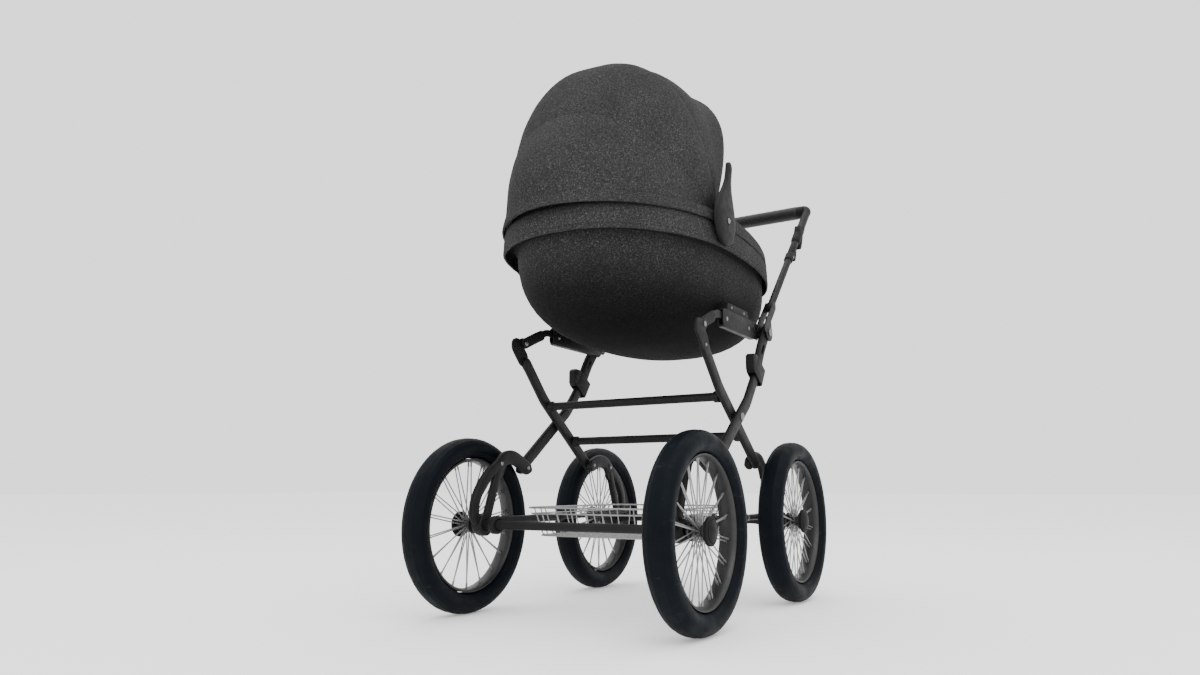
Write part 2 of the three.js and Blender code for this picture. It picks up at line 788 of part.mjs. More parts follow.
function hoodPoint(angle, t, inset, shift = 0) {
  const reach = heightOnCurve(HOOD_REACH, degreesOf(angle)) - inset;
  const half = heightOnCurve(HOOD_HALF, degreesOf(angle)) - inset;
  const power = 2 / (1.83 + (0.9 * angle) / HOOD_OPENING);
  const r = reach * Math.abs(Math.sin(t)) ** power;
  const x = half * Math.sign(Math.cos(t)) * Math.abs(Math.cos(t)) ** power;
  const along = [-Math.cos(angle), Math.sin(angle)];
  const across = [Math.sin(angle), Math.cos(angle)];
  return [
    x,
    HOOD_CENTRE[0] + r * along[0] + shift * across[0],
    HOOD_CENTRE[1] + r * along[1] + shift * across[1],
  ];
}

// The arch parameter at which a slice is a given distance from the pivot axis.
function archStart(angle, distance) {
  const reach = heightOnCurve(HOOD_REACH, degreesOf(angle));
  const power = 2 / (1.83 + (0.9 * angle) / HOOD_OPENING);
  return Math.asin((distance / reach) ** (1 / power));
}

function archPoints(angle, inset, shift, steps) {
  const start = archStart(angle, BOW_START_R);
  return Array.from({ length: steps + 1 }, (_, i) =>
    hoodPoint(angle, start + ((Math.PI - 2 * start) * i) / steps, inset, shift),
  );
}

function canopy() {
  const slices = 10;
  const steps = 16;
  const ring = (angle) => [
    ...archPoints(angle, 0, 0, steps),
    ...archPoints(angle, 4, 0, steps).reverse(),
  ];
  const rows = Array.from({ length: slices + 1 }, (_, i) => ring((HOOD_OPENING * i) / slices));
  return capEnds(rows);
}

// Joins open arch-shaped rings into a closed shell: the two end rings are closed as strips.
function capEnds(rows) {
  const count = rows[0].length;
  const faces = [];
  for (let i = 0; i + 1 < rows.length; i += 1) {
    for (let j = 0; j < count; j += 1) {
      const next = (j + 1) % count;
      const a = i * count + j;
      const b = i * count + next;
      const c = (i + 1) * count + j;
      const d = (i + 1) * count + next;
      faces.push(a, b, c, b, d, c);
    }
  }
  const end = (rows.length - 1) * count;
  for (let j = 0; j + 1 < count / 2; j += 1) {
    const back = count - 1 - j;
    faces.push(j, back, j + 1, j + 1, back, back - 1);
    faces.push(end + j, end + j + 1, end + back, end + j + 1, end + back - 1, end + back);
  }
  const geometry = new THREE.BufferGeometry();
  geometry.setAttribute("position", new THREE.Float32BufferAttribute(rows.flat(2), 3));
  geometry.setIndex(faces);
  return solidFrom(geometry);
}

function bow(angle) {
  const steps = 14;
  const side = (shift) => [
    ...archPoints(angle, 8, shift, steps),
    ...archPoints(angle, 12, shift, steps).reverse(),
  ];
  return capEnds([side(-4), side(4)]);
}

// The plate's outline: a round root at the pivot that narrows in a curve to a small tip.
function hingePlate() {
  const { tip, root, point, span } = HINGE_PLATE;
  const reach = Math.hypot(tip[0] - HOOD_PIVOT[0], tip[1] - HOOD_PIVOT[1]);
  const lean = Math.atan2(tip[1] - HOOD_PIVOT[1], tip[0] - HOOD_PIVOT[0]);
  const place = (along, across) => [
    HOOD_PIVOT[0] + along * Math.cos(lean) - across * Math.sin(lean),
    HOOD_PIVOT[1] + along * Math.sin(lean) + across * Math.cos(lean),
  ];
  const neck = [0, 18, 36, 54, 72, 90, 108].map((along) => {
    const fade = Math.cos((Math.PI * Math.min(along, 100)) / 100) / 2 + 0.5;
    return [along, point + (root - point) * fade ** 1.1];
  });
  const turn = (steps, radius, centre, start) =>
    Array.from({ length: steps + 1 }, (_, i) => {
      const angle = start - (Math.PI * i) / steps;
      return place(centre + radius * Math.cos(angle), radius * Math.sin(angle));
    });
  const outline = [
    ...neck.map(([along, across]) => place(along, across)),
    ...turn(6, point, reach, Math.PI / 2),
    ...neck.map(([along, across]) => place(along, -across)).reverse(),
    ...turn(14, root, 0, -Math.PI / 2).slice(1, -1),
  ];
  return plate(polygon(outline), span);
}

addNode("canopy", canopy(), FABRIC);
["hood_front_bow", "hood_middle_bow", "hood_opening_bow"].forEach((name, i) => {
  addNode(name, bow(BOW_ANGLES[i]), STEEL);
});
addPair("hood_hinge_plate", hingePlate(), DARK_PLASTIC);

export default stroller;
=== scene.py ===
"""Classic baby stroller (pram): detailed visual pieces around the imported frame.

Sizes are in millimetres in the frame's own layout (y = 0 is the middle of the wheelbase),
and each piece is moved to metres in the row frame when it is made.
"""
import math

import bmesh
import bpy
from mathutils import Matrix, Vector, noise


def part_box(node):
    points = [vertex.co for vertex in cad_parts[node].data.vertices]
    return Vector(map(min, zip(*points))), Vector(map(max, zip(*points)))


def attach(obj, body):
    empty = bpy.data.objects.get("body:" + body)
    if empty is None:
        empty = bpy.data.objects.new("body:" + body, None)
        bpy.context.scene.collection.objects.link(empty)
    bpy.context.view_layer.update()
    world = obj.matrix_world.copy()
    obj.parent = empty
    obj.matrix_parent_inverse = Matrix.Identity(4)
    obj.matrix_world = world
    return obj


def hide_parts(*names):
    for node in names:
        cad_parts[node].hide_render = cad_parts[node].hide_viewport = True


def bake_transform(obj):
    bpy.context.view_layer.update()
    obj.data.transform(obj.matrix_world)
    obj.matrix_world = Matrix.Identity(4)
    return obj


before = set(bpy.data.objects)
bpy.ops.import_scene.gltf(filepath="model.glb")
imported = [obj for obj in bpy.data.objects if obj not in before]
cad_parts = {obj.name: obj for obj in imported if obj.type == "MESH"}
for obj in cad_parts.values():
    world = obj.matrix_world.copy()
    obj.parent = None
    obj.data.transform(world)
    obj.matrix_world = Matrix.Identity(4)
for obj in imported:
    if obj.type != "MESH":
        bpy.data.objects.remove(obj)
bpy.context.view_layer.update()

SIDES = (("right", 1), ("left", -1))
AXLE_Y = 257
WHEEL_R = 175
WHEEL_X = 258
# The frame's own centre lies 73 mm behind the wheelbase's middle.
FRAME_CENTRE_Y = AXLE_Y - 1000 * sum(c.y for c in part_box("rear_axle")) / 2

SCISSOR_PIVOT = (15, 393)
HANDLE_HINGE = (190, 597)
LINK_PIN = (-132, 565)
HOOD_CENTRE = (-72, 781)
HOOD_PIVOT = (-88, 781)
HOOD_OPENING = math.radians(119)
BOW_ANGLES = [math.radians(a) for a in (40, 80, 119)]
FOLDED_FRONT_BOW = math.radians(12)
BOW_CLEARANCE = 8

FRONT_LEG_TOP = (122, 498)
NECK_MID = (154, 553)
NECK_LEAN = math.atan2(44, 36)
SLOT_HALF_LENGTH = 11
SLOT_R = 4.5
COLLAR_CENTRE = (122, 500)
COLLAR_ANGLE = math.radians(56)


def row(point):
    """A point in millimetres, in metres in the row frame."""
    x, y, z = point
    return Vector((x, y - FRAME_CENTRE_Y, z)) / 1000


def new_object(name, data):
    made = bpy.data.objects.new(name, data)
    bpy.context.scene.collection.objects.link(made)
    return made


# ---------------------------------------------------------------- camera, light, floor
def make_camera():
    camera = new_object("camera", bpy.data.cameras.new("camera"))
    ahead = Vector((-0.51038, 0.84113, 0.17891))
    camera.location = row((867.2, -1591.2, 249.8))
    camera.rotation_euler = ahead.to_track_quat("-Z", "Y").to_euler()
    camera.data.lens = 24.67
    camera.data.sensor_width = 36
    bpy.context.scene.camera = camera


def area_light(name, location, target, size, power):
    data = bpy.data.lights.new(name, "AREA")
    data.size = size
    data.energy = power
    light = new_object(name, data)
    light.location = Vector(location)
    light.rotation_euler = (Vector(target) - light.location).to_track_quat("-Z", "Y").to_euler()


def make_world():
    world = bpy.data.worlds.new("studio")
    bpy.context.scene.world = world
    world.use_nodes = True
    background = world.node_tree.nodes["Background"]
    background.inputs["Color"].default_value = (1, 1, 1, 1)
    background.inputs["Strength"].default_value = 1.7


def make_floor():
    mesh = bpy.data.meshes.new("floor")
    half = 30
    corners = [(-half, -half, 0), (half, -half, 0), (half, half, 0), (-half, half, 0)]
    mesh.from_pydata(corners, [], [(0, 1, 2, 3)])
    floor = new_object("floor", mesh)
    material = bpy.data.materials.new("pale_floor")
    material.use_nodes = True
    shader = material.node_tree.nodes["Principled BSDF"]
    shader.inputs["Base Color"].default_value = (0.93, 0.93, 0.93, 1)
    shader.inputs["Roughness"].default_value = 0.9
    shader.inputs["Emission Color"].default_value = (1, 1, 1, 1)
    shader.inputs["Emission Strength"].default_value = 0.25
    mesh.materials.append(material)


# ---------------------------------------------------------------- materials
class Nodes:
    """Short names for building a node material."""

    def __init__(self, name):
        self.material = bpy.data.materials.new(name)
        self.material.use_nodes = True
        self.tree = self.material.node_tree
        self.shader = self.tree.nodes["Principled BSDF"]

    def add(self, kind, **values):
        node = self.tree.nodes.new(kind)
        for key, value in values.items():
            if key in node.inputs:
                node.inputs[key].default_value = value
            else:
                setattr(node, key, value)
        return node

    def link(self, source, target):
        self.tree.links.new(source, target)

    def coordinates(self, scale=(1, 1, 1)):
        place = self.add("ShaderNodeTexCoord")
        mapping = self.add("ShaderNodeMapping")
        mapping.inputs["Scale"].default_value = scale
        self.link(place.outputs["Object"], mapping.inputs["Vector"])
        return mapping.outputs["Vector"]

    def noise(self, scale, detail=3, rough=0.5, stretch=(1, 1, 1)):
        node = self.add("ShaderNodeTexNoise", Scale=scale, Detail=detail, Roughness=rough)
        self.link(self.coordinates(stretch), node.inputs["Vector"])
        return node.outputs["Fac"]

    def ramp(self, factor, *stops):
        node = self.add("ShaderNodeValToRGB")
        elements = node.color_ramp.elements
        while len(elements) < len(stops):
            elements.new(0.5)
        for element, (position, colour) in zip(elements, stops):
            element.position = position
            element.color = (*colour, 1)
        self.link(factor, node.inputs["Fac"])
        return node.outputs["Color"]

    def speckle(self, scale, detail, rough, low, high, stop=0.7):
        """A noise that runs between two shades of grey."""
        return self.ramp(self.noise(scale, detail, rough), (0.3, grey(low)), (stop, grey(high)))

    def mix(self, factor, a, b, blend="MIX"):
        node = self.add("ShaderNodeMix", data_type="RGBA", blend_type=blend)
        for socket, value in ((0, factor), (6, a), (7, b)):
            if isinstance(value, bpy.types.NodeSocket):
                self.link(value, node.inputs[socket])
            elif isinstance(value, (int, float)):
                node.inputs[socket].default_value = value
            else:
                node.inputs[socket].default_value = (*value, 1)
        return node.outputs[2]

    def bump(self, height, strength, distance, after=None):
        node = self.add("ShaderNodeBump", Strength=strength, Distance=distance)
        self.link(height, node.inputs["Height"])
        if after:
            self.link(after, node.inputs["Normal"])
        return node.outputs["Normal"]

    def set(self, **values):
        for key, value in values.items():
            socket = self.shader.inputs[key.replace("_", " ")]
            if isinstance(value, bpy.types.NodeSocket):
                self.link(value, socket)
            else:
                socket.default_value = value
        return self.material


def grey(value):
    return (value, value, value)


def melange_fabric(name, dark, mid, light, painted_shade_below=None):
    """Charcoal woven cloth: two yarn shades crossing, with pale flecks and a soft nap; a given height
    range adds painted shade that darkens the cloth towards the bottom.
    """
    n = Nodes(name)
    upright = n.noise(400, 4, 0.8, (1.5, 1.5, 0.6))
    level = n.noise(400, 4, 0.8, (0.6, 0.6, 1.5))
    yarn = n.mix(0.5, upright, level)
    colour = n.ramp(
        yarn, (0.40, grey(dark)), (0.49, grey(mid)), (0.55, grey(mid * 1.6)), (0.62, grey(light))
    )
    tone = n.speckle(9, 3, 0.6, 0.78, 1.0)
    colour = n.mix(1.0, colour, tone, "MULTIPLY")
    # Painted shade: the colour darkens by object height towards the bottom, standing in for the shade
    # under the tub.
    if painted_shade_below:
        place = n.add("ShaderNodeSeparateXYZ")
        n.link(n.coordinates(), place.inputs["Vector"])
        fade = n.add("ShaderNodeMapRange")
        fade.inputs["From Min"].default_value = painted_shade_below[0]
        fade.inputs["From Max"].default_value = painted_shade_below[1]
        n.link(place.outputs["Z"], fade.inputs["Value"])
        lower = n.ramp(fade.outputs["Result"], (0.0, grey(0.16)), (0.45, grey(0.34)), (1.0, grey(1)))
        colour = n.mix(1.0, colour, lower, "MULTIPLY")
    threads = n.add("ShaderNodeTexWave", Scale=190, Distortion=1.2, Detail=1)
    n.link(n.coordinates(), threads.inputs["Vector"])
    crossing = n.add("ShaderNodeTexWave", Scale=190, Distortion=1.2, Detail=1)
    crossing.bands_direction = "Z"
    n.link(n.coordinates(), crossing.inputs["Vector"])
    weave = n.mix(0.5, threads.outputs["Fac"], crossing.outputs["Fac"])
    normal = n.bump(weave, 0.25, 0.0006)
    normal = n.bump(yarn, 0.45, 0.0012, normal)
    return n.set(Base_Color=colour, Normal=normal, Roughness=0.95, Specular_IOR_Level=0.06)


def frame_paint():
    """Matt charcoal powder coat with a fine orange peel."""
    n = Nodes("frame_paint")
    shade = n.speckle(35, 4, 0.6, 0.006, 0.010, 0.75)
    rough = n.speckle(60, 3, 0.6, 0.42, 0.58)
    normal = n.bump(n.noise(900, 2, 0.5), 0.12, 0.0004)
    return n.set(Base_Color=shade, Roughness=rough, Normal=normal, Specular_IOR_Level=0.14)


def moulded_plastic():
    n = Nodes("dark_plastic")
    shade = n.speckle(50, 3, 0.6, 0.005, 0.008)
    normal = n.bump(n.noise(1300, 2, 0.6), 0.2, 0.0003)
    rough = n.speckle(80, 3, 0.5, 0.5, 0.65)
    return n.set(Base_Color=shade, Roughness=rough, Normal=normal, Specular_IOR_Level=0.12)


def tyre_rubber():
    """Blue-black rubber, with pale dry scuffs and dust along the sidewall."""
    n = Nodes("tyre_rubber")
    base = n.ramp(n.noise(14, 4, 0.6), (0.3, (0.0006, 0.0016, 0.0030)), (0.75, (0.0013, 0.0034, 0.0060)))
    scuff = n.ramp(n.noise(26, 6, 0.75, (1, 0.7, 2.2)), (0.60, grey(0)), (0.76, grey(1)))
    colour = n.mix(scuff, base, (0.016, 0.022, 0.028))
    rough = n.speckle(40, 4, 0.6, 0.48, 0.68)
    normal = n.bump(n.noise(500, 4, 0.6), 0.25, 0.0005)
    return n.set(Base_Color=colour, Roughness=rough, Normal=normal, Specular_IOR_Level=0.08)


def metal(name, shade, roughness):
    n = Nodes(name)
    colour = n.speckle(120, 3, 0.6, shade * 0.85, shade)
    rough = n.speckle(90, 3, 0.6, roughness * 0.85, roughness * 1.2)
    normal = n.bump(n.noise(700, 2, 0.5), 0.08, 0.0003)
    return n.set(Base_Color=colour, Roughness=rough, Normal=normal, Metallic=0.85)


def grip_leather():
    n = Nodes("grip_leather")
    grain = n.add("ShaderNodeTexVoronoi", Scale=420)
    n.link(n.coordinates(), grain.inputs["Vector"])
    shade = n.speckle(45, 3, 0.6, 0.005, 0.010)
    normal = n.bump(grain.outputs["Distance"], 0.35, 0.0005)
    return n.set(Base_Color=shade, Roughness=0.5, Normal=normal, Specular_IOR_Level=0.3)


def cotton():
    n = Nodes("cotton")
    colour = n.ramp(n.noise(260, 3, 0.6), (0.3, (0.50, 0.48, 0.44)), (0.7, (0.66, 0.64, 0.60)))
    normal = n.bump(n.noise(900, 3, 0.6), 0.3, 0.0006)
    return n.set(Base_Color=colour, Roughness=0.95, Normal=normal, Sheen_Weight=0.2)


FABRIC = melange_fabric("melange_fabric", 0.012, 0.027, 0.12)
# The tub cover's cloth has painted shade: it darkens below 0.71 m height and is darkest at 0.56 m.
TUB_FABRIC_PAINTED_SHADE = melange_fabric("tub_fabric", 0.009, 0.022, 0.11, (0.56, 0.71))
LINING = melange_fabric("lining", 0.006, 0.010, 0.018)
PIPING = melange_fabric("piping", 0.004, 0.008, 0.020)
PAINT = frame_paint()
PLASTIC = moulded_plastic()
RUBBER = tyre_rubber()
STEEL = metal("steel_wire", 0.30, 0.42)
RIVET = metal("rivet_steel", 0.20, 0.42)
RIM_BLACK = metal("rim_black", 0.045, 0.45)
LEATHER = grip_leather()
COTTON = cotton()


# ---------------------------------------------------------------- surfaces
def signed_power(value, power):
    return math.copysign(abs(value) ** power, value)


def evenly_spaced(values, points, count):
    """The values whose points stand evenly along a curve, at count steps over its length."""
    lengths = [0.0]
    for a, b in zip(points, points[1:]):
        lengths.append(lengths[-1] + (b - a).length)
    chosen = []
    k = 0
    for i in range(count):
        goal = lengths[-1] * i / count
        while lengths[k + 1] < goal:
            k += 1
        chosen.append(values[k])
    return chosen


def grid_faces(rows, columns, wrap_rows=False, wrap_columns=True, start=0):
    """Quads between rows of points."""
    faces = []
    for i in range(rows if wrap_rows else rows - 1):
        for j in range(columns if wrap_columns else columns - 1):
            a = start + i * columns + j
            b = start + i * columns + (j + 1) % columns
            c = start + (i + 1) % rows * columns + (j + 1) % columns
            d = start + (i + 1) % rows * columns + j
            faces.append((a, b, c, d))
    return faces


def closed_stack(rings):
    """A closed surface from rings, with a flat face on each end."""
    count = len(rings[0])
    points = [p for ring in rings for p in ring]
    faces = grid_faces(len(rings), count)
    faces.append(tuple(range(count))[::-1])
    last = (len(rings) - 1) * count
    faces.append(tuple(range(last, last + count)))
    return points, faces


def closed_loop(rings):
    """A closed surface from rings, the last joined to the first."""
    return [p for ring in rings for p in ring], grid_faces(len(rings), len(rings[0]), True)


def tube(path, radius, sides=18, flat=1.0, squareness=2.0, end="dome"):
    """A round or flat tube along points. flat is its width across the path over its thickness."""
    points = [Vector(p) for p in path]
    radii = radius if isinstance(radius, (list, tuple)) else [radius] * len(points)
    across = None
    rings = []
    for i, point in enumerate(points):
        ahead = points[min(i + 1, len(points) - 1)] - points[max(i - 1, 0)]
        ahead.normalize()
        if across is None:
            guide = Vector((1, 0, 0)) if abs(ahead.x) < 0.9 else Vector((0, 0, 1))
            across = (guide - ahead * guide.dot(ahead)).normalized()
        else:
            across = (across - ahead * across.dot(ahead)).normalized()
        up = ahead.cross(across)
        rings.append((point, ahead, across, up, radii[i]))

    def ring(station, scale_across, scale_up, shift):
        point, ahead, side, up, r = station
        out = []
        for k in range(sides):
            angle = 2 * math.pi * k / sides
            c, s = math.cos(angle), math.sin(angle)
            c = signed_power(c, 2 / squareness)
            s = signed_power(s, 2 / squareness)
            out.append(
                point + ahead * shift + side * (r * c * scale_across) + up * (r * flat * s * scale_up)
            )
        return out

    body = [ring(s, 1, 1, 0) for s in rings]
    if end == "flat":
        return closed_stack(body)
    turns = [math.radians(a) for a in (82, 60, 35, 15)]
    for station, sign in ((rings[-1], 1), (rings[0], -1)):
        reach = station[4] * (flat if end == "side" else 1)
        for turn in turns[::-1]:
            thin = 1 if end == "side" else math.cos(turn)
            cap = ring(station, max(thin, 0.2), math.cos(turn), sign * reach * math.sin(turn))
            body.insert(len(body) if sign > 0 else 0, cap)
    return closed_stack(body)


def smooth_path(points, rounding=0.3, steps=6):
    """Points with each corner turned into a short curve."""
    p = [Vector(q) for q in points]
    out = [p[0]]
    for i in range(1, len(p) - 1):
        before = p[i] + (p[i - 1] - p[i]) * rounding
        after = p[i] + (p[i + 1] - p[i]) * rounding
        for k in range(steps + 1):
            t = k / steps
            out.append(before * (1 - t) ** 2 + p[i] * 2 * t * (1 - t) + after * t * t)
    out.append(p[-1])
    return out


def side_path(points, x, rounding=0.3):
    return smooth_path([(x, y, z) for y, z in points], rounding)


def flat_bar(points, span, width, rounding=0.3, squareness=3.2, sides=20):
    """A flat-oval bar in a side plane: its thickness fills the span across X."""
    middle = (span[0] + span[1]) / 2
    thickness = span[1] - span[0]
    path = side_path(points, middle, rounding)
    return tube(path, thickness / 2, sides, width / thickness, squareness, "side")


def plate(outline, span, bevel=1.2):
    """A flat plate standing across X, with rounded edges."""
    points = [Vector(p) for p in outline]
    area = sum(a.x * b.y - b.x * a.y for a, b in zip(points, points[1:] + points[:1]))
    if area < 0:
        points.reverse()
    count = len(points)
    inward = []
    for i, p in enumerate(points):
        before = (p - points[i - 1]).normalized()
        after = (points[(i + 1) % count] - p).normalized()
        normals = [Vector((-before.y, before.x)), Vector((-after.y, after.x))]
        middle = (normals[0] + normals[1]).normalized()
        inward.append(middle / max(middle.dot(normals[0]), 0.4))
    rings = []
    for depth, inset in ((0, 1), (0.3, 0.3), (1, 0)):
        rings.append((span[0] + depth * bevel, inset * bevel))
    for depth, inset in ((1, 0), (0.3, 0.3), (0, 1)):
        rings.append((span[1] - depth * bevel, inset * bevel))
    surface = []
    for x, inset in rings:
        surface.append([Vector((x, *(p + n * inset))) for p, n in zip(points, inward)])
    return closed_stack(surface)


def arc(centre, radius, start, stop, steps=12):
    return [
        (
            centre[0] + radius * math.cos(start + (stop - start) * k / steps),
            centre[1] + radius * math.sin(start + (stop - start) * k / steps),
        )
        for k in range(steps + 1)
    ]


def circle(centre, radius, steps=32):
    return arc(centre, radius, 0, 2 * math.pi * (1 - 1 / steps), steps - 1)


def turned(profile, centre=(0, 0, 0), steps=64):
    """A turned surface about X: the profile is (radius, x) points, closed on itself."""
    rings = []
    for k in range(steps):
        angle = 2 * math.pi * k / steps
        c, s = math.cos(angle), math.sin(angle)
        rings.append(
            [Vector((centre[0] + x, centre[1] + r * c, centre[2] + r * s)) for r, x in profile]
        )
    return closed_loop(rings)


def rivet(at, x, outward, radius=4.5, height=2.2):
    """A domed rivet head on a face across X."""
    profile = [(radius, 0), (radius, 0.25), (radius * 0.85, 0.65), (radius * 0.5, 0.93), (0.3, 1)]
    profile += [(0.3, -0.3), (radius, -0.3)]
    steps = [(r, outward * h * height) for r, h in profile]
    return turned(steps, (x, *at), 20)


def shell_surface(outer, inner):
    """A closed sheet from the rows of its two faces, with both open ends closed."""
    count = len(outer[0])
    rows = len(outer)
    points = [p for line in outer + inner[::-1] for p in line]
    faces = grid_faces(2 * rows, count, True, False)
    for end in (0, count - 1):
        for i in range(rows - 1):
            a, b = i * count + end, (i + 1) * count + end
            c, d = (2 * rows - 2 - i) * count + end, (2 * rows - 1 - i) * count + end
            faces.append((a, b, c, d) if end == 0 else (d, c, b, a))
    return points, faces


class Piece:
    """One object, collected from closed surfaces that each have a material."""

    def __init__(self, name, mirror=False):
        self.name = name
        self.mirror = mirror
        self.points = []
        self.faces = []
        self.materials = []
        self.indices = []

    def add(self, surface, material, mirror=False):
        points, faces = surface
        start = len(self.points)
        for p in points:
            p = Vector(p)
            self.points.append(row((-p.x if mirror or self.mirror else p.x, p.y, p.z)))
        if material not in self.materials:
            self.materials.append(material)
        index = self.materials.index(material)
        for face in faces:
            self.faces.append(tuple(start + i for i in face))
            self.indices.append(index)
        return self

    def make(self, slot, nodes=(), sharp=38):
        mesh = bpy.data.meshes.new(self.name)
        mesh.from_pydata(self.points, [], self.faces)
        for material in self.materials:
            mesh.materials.append(material)
        mesh.polygons.foreach_set("material_index", self.indices)
        work = bmesh.new()
        work.from_mesh(mesh)
        bmesh.ops.remove_doubles(work, verts=work.verts, dist=1e-6)
        bmesh.ops.recalc_face_normals(work, faces=work.faces)
        work.to_mesh(mesh)
        work.free()
        mesh.polygons.foreach_set("use_smooth", [True] * len(mesh.polygons))
        mesh.set_sharp_from_angle(angle=math.radians(sharp))
        made = new_object(self.name, mesh)
        if nodes:
            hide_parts(*nodes)
        return made

    def ride(self, body, slot, nodes=(), sharp=38):
        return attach(self.make(slot, nodes, sharp), body)


# ---------------------------------------------------------------- wheels
TYRE_MID_R = 154
TYRE_HALF_WIDTH = 26.5
SPOKE_PAIRS = 18


def tyre_profile():
    """A balloon section with shallow grooves round the tread and a bead line."""
    points = []
    steps = 44
    for k in range(steps):
        angle = 2 * math.pi * k / steps
        c, s = math.cos(angle), math.sin(angle)
        r = TYRE_MID_R + (WHEEL_R - TYRE_MID_R) * signed_power(c, 0.85)
        x = TYRE_HALF_WIDTH * signed_power(s, 0.92)
        if c > 0.5 and k % 3 == 1:
            r -= 1.1
        if -0.62 < c < -0.5:
            r += 1.2
        points.append((max(r, 133.5), x))
    return points


def spoked_rim(piece, centre, out):
    rim = [(132.4, -14), (132.9, -15.5), (130, -16.2), (127.4, -13), (125.6, -6), (125.2, 0)]
    rim += [(r, -x) for r, x in rim[-2::-1]]
    piece.add(turned(rim, centre, 96), RIM_BLACK)
    hub = [(5.7, -22), (11, -22), (12.5, -19), (12.5, -17), (18, -15.5), (18, -12.5), (10.5, -10)]
    hub += [(9.5, 0), (10.5, 10), (18, 12.5), (18, 15.5), (14, 17), (5.7, 18)]
    piece.add(turned([(r, x * out) for r, x in hub], centre, 40), RIM_BLACK)
    for i in range(SPOKE_PAIRS):
        angle = 2 * math.pi * (i + 0.5) / SPOKE_PAIRS
        for side in (-1, 1):
            along = Vector((0, math.cos(angle), math.sin(angle)))
            shift = Vector((0, -math.sin(angle), math.cos(angle))) * side * 2.3
            foot = along * 9.2 + shift + Vector((side * 5 * out, 0, 0))
            head = along * 126.5 + shift + Vector((side * 1.5 * out, 0, 0))
            nipple = head + (foot - head) * 0.09
            origin = Vector(centre)
            piece.add(tube([origin + foot, origin + head], 1.3, 8, end="flat"), STEEL)
            piece.add(tube([origin + nipple, origin + head], 2.0, 8, end="flat"), STEEL)


def hub_cap_profile(out):
    profile = [(0.4, 18.4), (25.0, 18.4), (25.5, 19.4), (25.5, 22.8), (24.4, 24.2), (21.5, 25.2)]
    profile += [(20.6, 24.3), (19.6, 24.3), (18.8, 26.2), (14, 28.6), (8, 30.2), (0.4, 30.8)]
    return [(r, x * out) for r, x in profile]


def make_wheels():
    for end, y in (("front", -AXLE_Y), ("rear", AXLE_Y)):
        for side, sign in SIDES:
            centre = (sign * WHEEL_X, y, WHEEL_R)
            body = f"{end}_{side}_wheel"
            tyre = Piece(f"{end}_{side}_balloon_tyre")
            tyre.add(turned(tyre_profile(), centre, 128), RUBBER)
            tyre.ride(body, "tyre_rubber", [f"{end}_{side}_tyre"], 60)
            rim = Piece(f"{end}_{side}_wire_wheel")
            spoked_rim(rim, centre, sign)
            rim.ride(body, "steel_wire", [f"{end}_{side}_spoked_rim"])
            cap = Piece(f"{end}_{side}_wheel_cap")
            cap.add(turned(hub_cap_profile(sign), centre, 48), PLASTIC)
            cap.ride(body, "dark_plastic", [f"{end}_{side}_hub_cap"])


# ---------------------------------------------------------------- axles, side bars, basket
def axle_surface(y):
    half = [(5.2, 275), (5.2, 226), (11.6, 224.6), (12, 222), (12, 196), (10.5, 180), (8.5, 160)]
    profile = [(0.3, 275)] + half + [(r, -x) for r, x in half[::-1]] + [(0.3, -275)]
    return turned(profile, (0, y, WHEEL_R), 32)


def make_axles():
    for end, y, body in (("front", -AXLE_Y, "front_legs"), ("rear", AXLE_Y, "undercarriage")):
        Piece(f"{end}_axle_beam").add(axle_surface(y), PAINT).ride(
            body, "frame_paint", [f"{end}_axle"]
        )


SIDE_BAR_X = 186
SIDE_BAR_Z = 184


def make_side_bars():
    for side, sign in SIDES:
        mirror = sign < 0
        rod = Piece(f"sliding_rod_{side}", mirror)
        start = (SIDE_BAR_X, AXLE_Y - 14, SIDE_BAR_Z)
        rod.add(tube([start, (SIDE_BAR_X, -183, SIDE_BAR_Z)], 4.8, 16), PAINT)
        sleeve = [(SIDE_BAR_X, AXLE_Y - 12, SIDE_BAR_Z), (SIDE_BAR_X, 60, SIDE_BAR_Z)]
        rod.add(tube(sleeve, [7.6, 4.9], 18), PAINT)
        saddle = flat_bar([(AXLE_Y - 12, 185), (AXLE_Y + 2, 190)], (179, 193), 14)
        rod.add(saddle, PAINT)
        rod.ride("undercarriage", "steel_wire", [f"side_rod_{side}"])
        outer = Piece(f"sliding_tube_{side}", mirror)
        path = [(SIDE_BAR_X, -AXLE_Y + 12, SIDE_BAR_Z), (SIDE_BAR_X, -24, SIDE_BAR_Z)]
        outer.add(tube(path, 8.1, 20), PAINT)
        eye = [(12.6, -7), (17.2, -7), (18, -5.5), (18, 5.5), (17.2, 7), (12.6, 7)]
        outer.add(turned(eye, (SIDE_BAR_X, -AXLE_Y, WHEEL_R), 40), PAINT)
        collar = [(SIDE_BAR_X, -36, SIDE_BAR_Z), (SIDE_BAR_X, -24, SIDE_BAR_Z)]
        outer.add(tube(collar, 9.2, 20), PLASTIC)
        outer.ride("side_tubes", "frame_paint", [f"side_tube_{side}"])


def basket_ring(half, front, back, z, corner=28):
    corners = [
        (half - corner, back - corner, 0),
        (-half + corner, back - corner, 90),
        (-half + corner, front + corner, 180),
        (half - corner, front + corner, 270),
    ]
    path = []
    for x, y, turn in corners:
        for k in range(7):
            a = math.radians(turn + 15 * k)
            path.append((x + corner * math.cos(a), y + corner * math.sin(a), z))
    return path


def wire_ring(path, radius):
    """A closed wire through the points."""
    points = [Vector(p) for p in path]
    rings = []
    count = len(points)
    for i, point in enumerate(points):
        ahead = (points[(i + 1) % count] - points[i - 1]).normalized()
        across = ahead.cross(Vector((0, 0, 1))).normalized()
        up = across.cross(ahead)
        ring = []
        for k in range(8):
            angle = 2 * math.pi * k / 8
            ring.append(point + across * (radius * math.cos(angle)) + up * (radius * math.sin(angle)))
        rings.append(ring)
    return closed_loop(rings)


